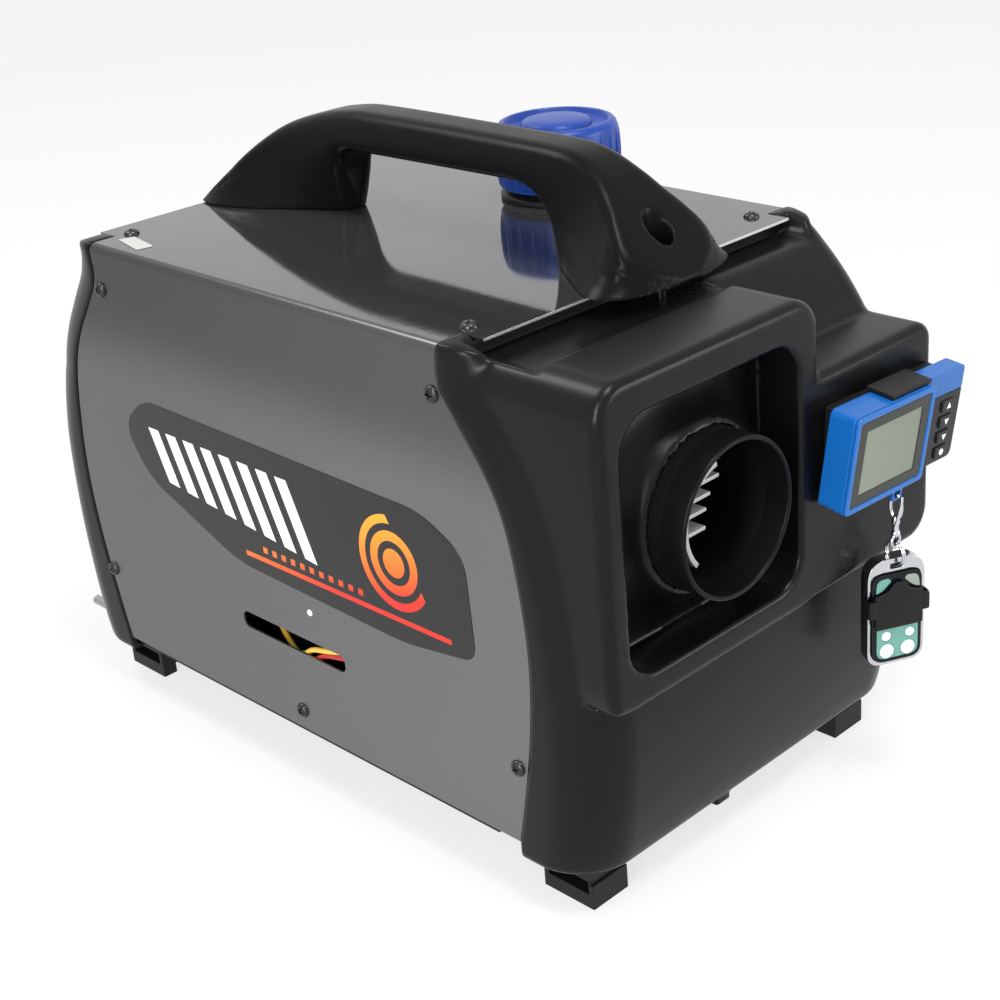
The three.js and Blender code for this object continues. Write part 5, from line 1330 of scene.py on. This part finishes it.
class HEATER_OT_outlet(bpy.types.Operator):
    """Warm-air collar and what shows inside it"""

    bl_idname = "heater.outlet"
    bl_label = "Outlet"

    def execute(self, context):
        _, _, finishes = settings()
        outer, inner = OUTLET_RADIUS, OUTLET_RADIUS - OUTLET_WALL
        front = -OUTLET_FRONT
        profile = [
            (inner, -193), (inner, front + 1.1), (inner + 0.25, front + 0.35), (inner + 0.9, front),
            (outer - 0.9, front), (outer - 0.25, front + 0.35), (outer, front + 1.1), (outer, -193)]
        collar = turned("outlet_tube", profile, (OUTLET_X, 0, OUTLET_Z), "y", CASE_FRAME, 128)
        mount(shade(collar, 50), "case", finishes["collar"], ("outlet_collar",))
        self.fins(finishes)
        for node, width, finish in (
            ("heat_exchanger", 0.35, "aluminium"), ("intake_grille", 0.4, "dark_plastic"),
        ):
            mount(refined(node, width), "case", finishes[finish], (node,))
        return {"FINISHED"}

    def fins(self, finishes):
        """Front ends of the exchanger's fins and its inner edge, which show at the left of the mouth"""
        front, back, thick, length = -228.0, -208.0, 0.85, 12.0
        inner, outer = 25.0, 27.4
        arc = np.radians(np.linspace(100, 222, 24))
        edge = [(OUTLET_X + radius * math.cos(a), OUTLET_Z + radius * math.sin(a))
                for radius, angles in ((inner, arc), (outer, arc[::-1])) for a in angles]
        pieces = [soften(plate("inner_edge", np.array(edge), front, front + 5, CASE_FRAME), 0.3, 2)]
        for rise in (20, 13.5, 7, -1.5):
            start = OUTLET_X - math.sqrt(inner**2 - rise**2)
            bar = corners_of(start, OUTLET_Z + rise - thick, start + length, OUTLET_Z + rise + thick, 0.3)
            pieces.append(soften(plate("fin", rounded(bar, 2), front + 0.5, back, CASE_FRAME), 0.2, 2))
        mount(shade(joined("exchanger_fins", pieces)), "case", finishes["fin_metal"])


class HEATER_OT_filler(bpy.types.Operator):
    """Blue fuel cap with grip ribs, and the collar under it"""

    bl_idname = "heater.filler"
    bl_label = "Fuel cap"

    def execute(self, context):
        sizes, _, finishes = settings()
        top, low = FUEL_CAP_TOP, FUEL_CAP_TOP - FUEL_CAP_HEIGHT
        skirt = FUEL_CAP_RADIUS - 1.4
        profile = [
            (25, low), (skirt - 0.6, low), (skirt, low + 0.8), (skirt, top - 5.0), (skirt - 0.5, top - 3.2),
            (skirt - 1.8, top - 1.7), (skirt - 2.8, top - 1.2), (skirt - 4.4, top - 1.2),
            (skirt - 5.0, top - 1.8), (skirt - 5.4, top - 4.0), (skirt - 6.0, top - 4.5), (20.0, top - 4.5),
            (19.2, top - 4.1), (18.2, top - 1.7), (17.4, top - 1.0), (9, top - 0.2), (0, top),
            (0, 303.1), (24.6, 303.1), (25, 302.8)]
        cap = turned("fuel_cap_shell", profile, (*FILLER, 0), "z", CASE_FRAME, 120)
        mount(shade(cap, 40), "fuel_cap", finishes["cap_blue"], ("fuel_cap",))
        ribs = new_object("fuel_cap_ribs", [(0, 0, 0)], [])
        tree, named = rib_tree("cap_ribs", finishes["cap_blue"])
        grown(ribs, tree, {
            named["Ribs"]: sizes.cap_ribs, named["Circle radius"]: (skirt - 0.6) * MM,
            named["Rib radius"]: 1.95 * MM, named["Rib height"]: 14.5 * MM})
        ribs.data.transform(Matrix.Translation(Vector(place([(*FILLER, low + 15.5)])[0])))
        mount(shade(ribs, 60), "fuel_cap", finishes["cap_blue"])
        ring = refined("filler_collar", 0.4)
        mount(ring, "case", finishes["dark_plastic"], ("filler_collar",))
        return {"FINISHED"}


class HEATER_OT_controller(bpy.types.Operator):
    """Clip-on controller: blue case, display, keypad and bracket"""

    bl_idname = "heater.controller"
    bl_label = "Controller"

    def execute(self, context):
        _, _, finishes = settings()
        half = CONTROL["height"] / 2
        wide, screen = CONTROL["width"], CONTROL["screen"]
        back = -(2 * math.sin(CONTROL_TILT) * half + 2) / 2 - 0.2 - GAP
        front = back - CONTROL["depth"]
        face = front - CONTROL["rise"]
        panel_top = half - 13

        flat = partial(flat_piece, CONTROL_FRAME, 6)
        body = [(0.0, -half, 4), (wide, -half, 4), (wide, half, 4), (0.0, half, 4)]
        shell = plate("case_body", rounded(body, 6), front, back, CONTROL_FRAME)
        pocket = corners_of(screen + 1.2, -half - 5, wide + 5, panel_top + GAP, 0.1)
        cut(shell, plate("panel_tool", rounded(pocket, 1), front - 2, front + 5 + GAP, CONTROL_FRAME))
        soften(shell, 0.9, 3)
        outer = corners_of(0.0, -half, screen, half, 3)
        inner = rounded(corners_of(3, -half + 3, screen - 3, half - 3, 1.5), 6)
        ring_back = plate("ring_back", rounded(outer, 6), face + 2.2, front + 0.6, CONTROL_FRAME)
        ring_front = plate("ring_front", rounded(outer, 6), face, face + 1.9, CONTROL_FRAME, "y", (inner,))
        seam = corners_of(0.5, -half + 0.5, screen - 0.5, half - 0.5, 2.6)
        ring_seam = plate("ring_seam", rounded(seam, 6), face + 1.7, face + 2.4, CONTROL_FRAME)
        soften(ring_back, 0.45, 3)
        soften(ring_front, 0.7, 3)
        case = joined("controller_shell", [shell, ring_back, ring_front, ring_seam, clasp_eye()])
        shade(case, flats=True)
        mount(case, "case", finishes["controller_blue"], ("controller_case",))
        inset = corners_of(3 + GAP, -half + 3 + GAP, screen - 3 - GAP, half - 3 - GAP, 1.2)
        opening = rounded(corners_of(9, -half + 8.3, screen - 9, half - 8.3, 0.8), 4)
        flat("display_surround", inset, face + 0.5, face + 1.7, 0.3, "bezel", "dark_plastic",
             ("screen_bezel",), holes=(opening,))
        glass = corners_of(8.9, -half + 8.2, screen - 8.9, half - 8.2, 0.8)
        flat("display_glass", glass, face + 0.95, face + 1.5, 0.15, "screen", "screen", ("screen_glass",))
        inner_end = screen + 1.5
        keypad = [
            (inner_end, -half, 0.6), (wide, -half, 4), (wide, panel_top, 0.6), (inner_end, panel_top, 0.6)]
        levels = [panel_top - 6.5 - i * 8.4 for i in range(4)]

        def key_corners(z, gap):
            return corners_of(screen + 18 - gap, z - 2.9 - gap, screen + 28 + gap, z + 2.9 + gap, 1.4)

        holes = tuple(rounded(key_corners(z, GAP), 4) for z in levels)
        flat("keypad_plate", keypad, front, front + 5, 0.3, "gloss_black", "dark_plastic",
             ("button_panel",), holes=holes)
        upward = [(-1.9, -1.3), (1.9, -1.3), (0, 1.9)]
        downward = [(-1.9, 1.3), (0, -1.9), (1.9, 1.3)]
        marks = (upward, downward, downward, circle(0, 0, 1.7, 16))
        for i, (z, mark) in enumerate(zip(levels, marks)):
            name = f"controller_button_{i + 1}"
            flat(name + "_key", key_corners(z, 0), front - 1.2, front + 2.8, 0.6, "rubber", "rubber",
                 (name,), name)
            sign = [(screen + 23 + u, z + v) for u, v in mark]
            made = plate(name + "_mark", np.array(sign), front - 1.35, front - 1.0, CONTROL_FRAME)
            mount(shade(made), name, finishes["white_mark"])
        mount(refined("controller_bracket", 0.5), "case", finishes["dark_plastic"],
              ("controller_bracket",))
        return {"FINISHED"}


def clasp_eye():
    """Small moulded eye under the controller that the clasp hooks into."""
    hole = circle(0, 0, 2.5, 20)
    outline = rounded(corners_of(-4, -3.8, 4, 5, 2.2), 5)
    matrix = CONTROL_FRAME @ Matrix.Translation(EYE)
    return plate("eye", outline, -0.7, 0.7, matrix, "y", (np.array(hole),))


class HEATER_OT_fob(bpy.types.Operator):
    """Remote fob on its clasp: frame, case, sliding cover and keys"""

    bl_idname = "heater.fob"
    bl_label = "Remote fob"

    def execute(self, context):
        _, _, finishes = settings()
        self.clasp(finishes)
        half = FOB["thick"] / 2
        w, h = FOB["width"] / 2, FOB["height"] / 2
        face = -half + 1

        flat = partial(flat_piece, FOB_FRAME, 8, body="fob")

        eye = rounded(corners_of(-3.5, h - 5.6, 3.5, h - 2.6, 1), 4)
        outline = rounded([(-w, -h, 8), (w, -h, 8), (w, h, 11), (-w, h, 11)], 8)
        rim = plate("fob_rim", outline, -2.5, half, FOB_FRAME, "y", (eye,))
        u, low, high = w - 1.9, -h + 1.9, h - 7.4
        room = rounded([(-u, low, 7), (u, low, 7), (u, high, 5), (-u, high, 5)], 8)
        cut(rim, plate("fob_tool", room, -8, half - 2, FOB_FRAME))
        soften(rim, 0.7, 3)
        mount(shade(rim), "fob", finishes["bright_steel"], ("fob_frame",))
        u, low, high = w - 2.2, -h + 2.2, h - 7.8
        body = [(-u, low, 6.5), (u, low, 6.5), (u, high, 5), (-u, high, 5)]
        holes = tuple(np.array(circle(x, z, radius + GAP, 24)) for x, z, radius in FOB_BUTTONS)
        flat("fob_shell", body, face, half - 2.3, 0.5, "gloss_black", "dark_plastic", ("fob_case",),
             holes=holes)
        u, low, high = w - 4.2, -h + 4.4, -7.6
        panel = [(-u, low, 4.5), (u, low, 4.5), (u, high, 1.5), (-u, high, 1.5)]
        flat("fob_face", panel, face - 0.35, face + 0.4, 0.12, "teal", "teal", holes=holes)
        lens = [
            (-12.0, 12.2, 1.2), (-8.4, 13.6, 1.5), (-3.6, 18.0, 1.0), (-5.0, 19.8, 1.5), (-11.2, 19.4, 4.0)]
        mirrored = [(-x, z, r) for x, z, r in reversed(lens)]
        flat("fob_lens_left", lens, face - 0.5, face + 0.3, 0.15, "teal", "teal")
        flat("fob_lens_right", mirrored, face - 0.5, face + 0.3, 0.15, "grey_lens", "teal")
        edge = [
            (w - 2.6, -7.2, 1.2), (w - 2.6, 6.0, 1.5), (w - 2.2, 11.4, 1.5), (5.5, 13.2, 3), (2.6, 17.8, 2.5)]
        mirrored = [(-x, z, r) for x, z, r in edge]
        cover = mirrored[:1] + edge + mirrored[:0:-1]
        lid = plate("lid", rounded(cover, 6), face - 2.6, face - 1, FOB_FRAME)
        pieces = [soften(lid, 0.6, 3)]
        side = w + 1.1
        for sign in (-1, 1):
            for name, start, radius, steps, low, high, width in (
                ("ear", w + GAP, 0.6, 3, face - 1.4, half - 3, 0.4),
                ("wrap", w - 3.2, 1.4, 4, face - 2.5, face - 1.1, 0.5),
            ):
                u0, u1 = sorted((sign * start, sign * side))
                outline = rounded(corners_of(u0, -0.5, u1, 9.2, radius), steps)
                pieces.append(soften(plate(name, outline, low, high, FOB_FRAME), width, 2))
        slider = joined("fob_cover", pieces)
        mount(shade(slider), "fob_slider", finishes["dark_plastic"], ("fob_slider",))
        for i, (x, z, radius) in enumerate(FOB_BUTTONS):
            name = f"fob_button_{i + 1}"
            dome = [
                (0, face - 0.66), (radius * 0.6, face - 0.62), (radius * 0.88, face - 0.5),
                (radius, face - 0.15), (radius, face + 1.6), (0, face + 1.6)]
            key = turned(name + "_key", dome, (x, 0, z), "y", FOB_FRAME, 40)
            mount(shade(outward(key, 1e-7)), name, finishes["white_rubber"], (name,))
        return {"FINISHED"}

    def clasp(self, finishes):
        """Lobster clasp with its long lever, swivel and ring, and the double split ring"""
        wire = 0.95
        angles = np.linspace(-0.6, 2 * math.pi - 1.15, 16)
        top = 0.85 - 2.5 + 3 * GAP
        hook = [(0, 3.2 * math.sin(a), top - 6.4 + 6.4 * math.cos(a)) for a in angles]
        pieces = [tube("hook", hook, wire, CLASP_FRAME, 12)]
        lever = [
            (0, -3.4, -1.2), (-0.6, -3.6, -4.5), (-1.2, -3.0, -8.5), (-1.6, -2.0, -13.5), (-2.0, -1.2, -17.0)]
        pieces.append(tube("lever", lever, 0.8, CLASP_FRAME, 10))
        stem = [(0, -21), (1.5, -20.6), (1.6, -17), (2.2, -15.6), (1.9, -14), (1.5, -12.2), (0, -12)]
        pieces.append(turned("stem", stem, (0, 0, 0), "z", CLASP_FRAME, 20))
        ball = [(2.3 * math.sin(a), -21.5 - 2.3 * math.cos(a)) for a in np.linspace(0, math.pi, 11)]
        pieces.append(turned("swivel", ball, (0, 0, 0), "z", CLASP_FRAME, 24))
        ring = [(3.3 * math.cos(a), 0, CLASP_RING + 3.3 * math.sin(a))
                for a in np.linspace(0, 2 * math.pi, 12, endpoint=False)]
        pieces.append(tube("ring", ring, 0.85, CLASP_FRAME, 10, closed=True))
        made = joined("clasp_piece", pieces)
        mount(shade(made, 50), "clasp", finishes["bright_steel"], ("clasp_hook",))
        centre = CLASP_RING - LINK_RADIUS - 0.6
        turns = []
        tilt = FOB_TURN / 2
        for shift in (-0.55, 0.55):
            loop = []
            for a in np.linspace(0, 2 * math.pi, 16, endpoint=False):
                y, z = LINK_RADIUS * math.cos(a), centre + LINK_RADIUS * math.sin(a)
                across = y * math.sin(tilt) + shift * math.cos(tilt)
                along = y * math.cos(tilt) - shift * math.sin(tilt)
                loop.append((across, along, z))
            turns.append(tube("turn", loop, 0.55, CLASP_FRAME, 8, closed=True))
        ring = shade(joined("split_ring", turns), 50)
        mount(ring, "link", finishes["bright_steel"], ("fob_link",))


class HEATER_OT_base(bpy.types.Operator):
    """Feet, tray, gland and the pieces inside the case"""

    bl_idname = "heater.base"
    bl_label = "Feet and inner parts"

    def execute(self, context):
        _, _, finishes = settings()
        widths = {
            "foot_front_left": 0.8, "foot_front_right": 0.8, "foot_rear_left": 0.8, "foot_rear_right": 0.8,
            "power_gland": 0.5, "drain_tube": 0.2, "base_tray": 0.4, "fuel_pump": 0.5, "pump_clamp": 0.5,
            "fuel_filter": 0.4, "exhaust_pipe": 0.2, "combustion_air_pipe": 0.2,
        }
        slots = {entry["node"]: entry["material_slot"] for entry in frame["record"]["subparts"]}
        groups = frame["record"]["behaviour"]["bodies"]
        bodies = {node: body for body, nodes in groups.items() for node in nodes}
        for node, width in widths.items():
            mount(refined(node, width), bodies[node], finishes[slots[node]], (node,))
        for node, made in frame["nodes"].items():
            if made.hide_render:
                continue
            made.data.materials.clear()
            made.data.materials.append(finishes[slots[node]])
        return {"FINISHED"}


class HEATER_OT_stage(bpy.types.Operator):
    """Camera, pale floor, soft lamps and white surroundings"""

    bl_idname = "heater.stage"
    bl_label = "Studio"

    def execute(self, context):
        scene = context.scene
        lens = bpy.data.cameras.new("camera")
        lens.lens, lens.sensor_width = CAMERA_LENS, 36.0
        lens.shift_x, lens.shift_y = CAMERA_SHIFT
        lens.clip_start, lens.clip_end = 0.01, 50
        camera = bpy.data.objects.new("camera", lens)
        scene.collection.objects.link(camera)
        turn = Matrix((CAMERA_RIGHT, CAMERA_UP, CAMERA_BACK)).transposed()
        camera.matrix_world = Matrix.Translation(CAMERA_PLACE) @ turn.to_4x4()
        scene.camera = camera
        scene.view_settings.view_transform = "Standard"
        self.floor()
        self.lamps(scene)
        self.surroundings(scene)
        return {"FINISHED"}

    def floor(self):
        corners = [(x * FLOOR_HALF, y * FLOOR_HALF, 0) for x, y in ((-1, -1), (1, -1), (1, 1), (-1, 1))]
        floor = new_object("floor", corners, [(0, 1, 2, 3)])
        finish = Finish("pale_floor", (0.80, 0.80, 0.80), 0.7)
        grain = finish.noise(0.3, 2.0)
        finish.rough(grain * 0.1 + 0.65)
        glow = finish.node("ShaderNodeEmission", None, {"Color": WHITE, "Strength": 1.0})
        share = Reading(finish, seen_directly(finish.tree)) * FLOOR_GLOW
        blend = finish.node("ShaderNodeMixShader", None, {
            0: share, 1: finish.shader.outputs[0], 2: glow.outputs[0]})
        finish.feed(finish.tree.nodes["Material Output"].inputs["Surface"], blend.outputs[0])
        floor.data.materials.append(finish.material)

    def lamps(self, scene):
        aim = Vector((0, 0, 0.15))
        for name, where, width, height, power in LAMPS:
            light = bpy.data.lights.new(name, "AREA")
            light.shape, light.size, light.size_y, light.energy = "RECTANGLE", width, height, power
            lamp = bpy.data.objects.new(name, light)
            lamp.location = where
            lamp.rotation_mode = "QUATERNION"
            lamp.rotation_quaternion = (aim - Vector(where)).to_track_quat("-Z", "Y")
            scene.collection.objects.link(lamp)

    def surroundings(self, scene):
        world = bpy.data.worlds.new("studio")
        world.use_nodes = True
        scene.world = world
        tree = world.node_tree
        plain = tree.nodes["Background"]
        feed(tree, plain.inputs["Color"], WHITE)
        feed(tree, plain.inputs["Strength"], ROOM_LIGHT)
        white = add_node(tree, "ShaderNodeBackground", None, {"Color": WHITE, "Strength": 1.0})
        blend = add_node(tree, "ShaderNodeMixShader", None, {
            0: seen_directly(tree), 1: plain.outputs[0], 2: white.outputs[0]})
        feed(tree, tree.nodes["World Output"].inputs["Surface"], blend.outputs[0])


class HEATER_PT_panel(bpy.types.Panel):
    """Sidebar panel with the heater's pieces and settings"""

    bl_idname = "HEATER_PT_panel"
    bl_label = "Diesel air heater"
    bl_space_type = "VIEW_3D"
    bl_region_type = "UI"
    bl_category = "Heater"

    def draw(self, context):
        for group in (context.scene.heater_sizes, context.scene.heater_colours):
            box = self.layout.box()
            for label in group.__annotations__:
                box.prop(group, label)
        for operator in OPERATORS:
            self.layout.operator(operator.bl_idname)


OPERATORS = (
    HEATER_OT_stage, HEATER_OT_housing, HEATER_OT_cover, HEATER_OT_handle, HEATER_OT_screws, HEATER_OT_outlet,
    HEATER_OT_filler, HEATER_OT_controller, HEATER_OT_fob, HEATER_OT_base,
)
CLASSES = (HeaterSizes, HeaterColours, *OPERATORS, HEATER_PT_panel)


def register():
    for made in CLASSES:
        bpy.utils.register_class(made)
    bpy.types.Scene.heater_sizes = PointerProperty(type=HeaterSizes)
    bpy.types.Scene.heater_colours = PointerProperty(type=HeaterColours)


def unregister():
    del bpy.types.Scene.heater_colours
    del bpy.types.Scene.heater_sizes
    for made in reversed(CLASSES):
        bpy.utils.unregister_class(made)


def main():
    register()
    for operator in OPERATORS:
        group, call = operator.bl_idname.split(".")
        getattr(getattr(bpy.ops, group), call)()


if __name__ == "__main__":
    main()
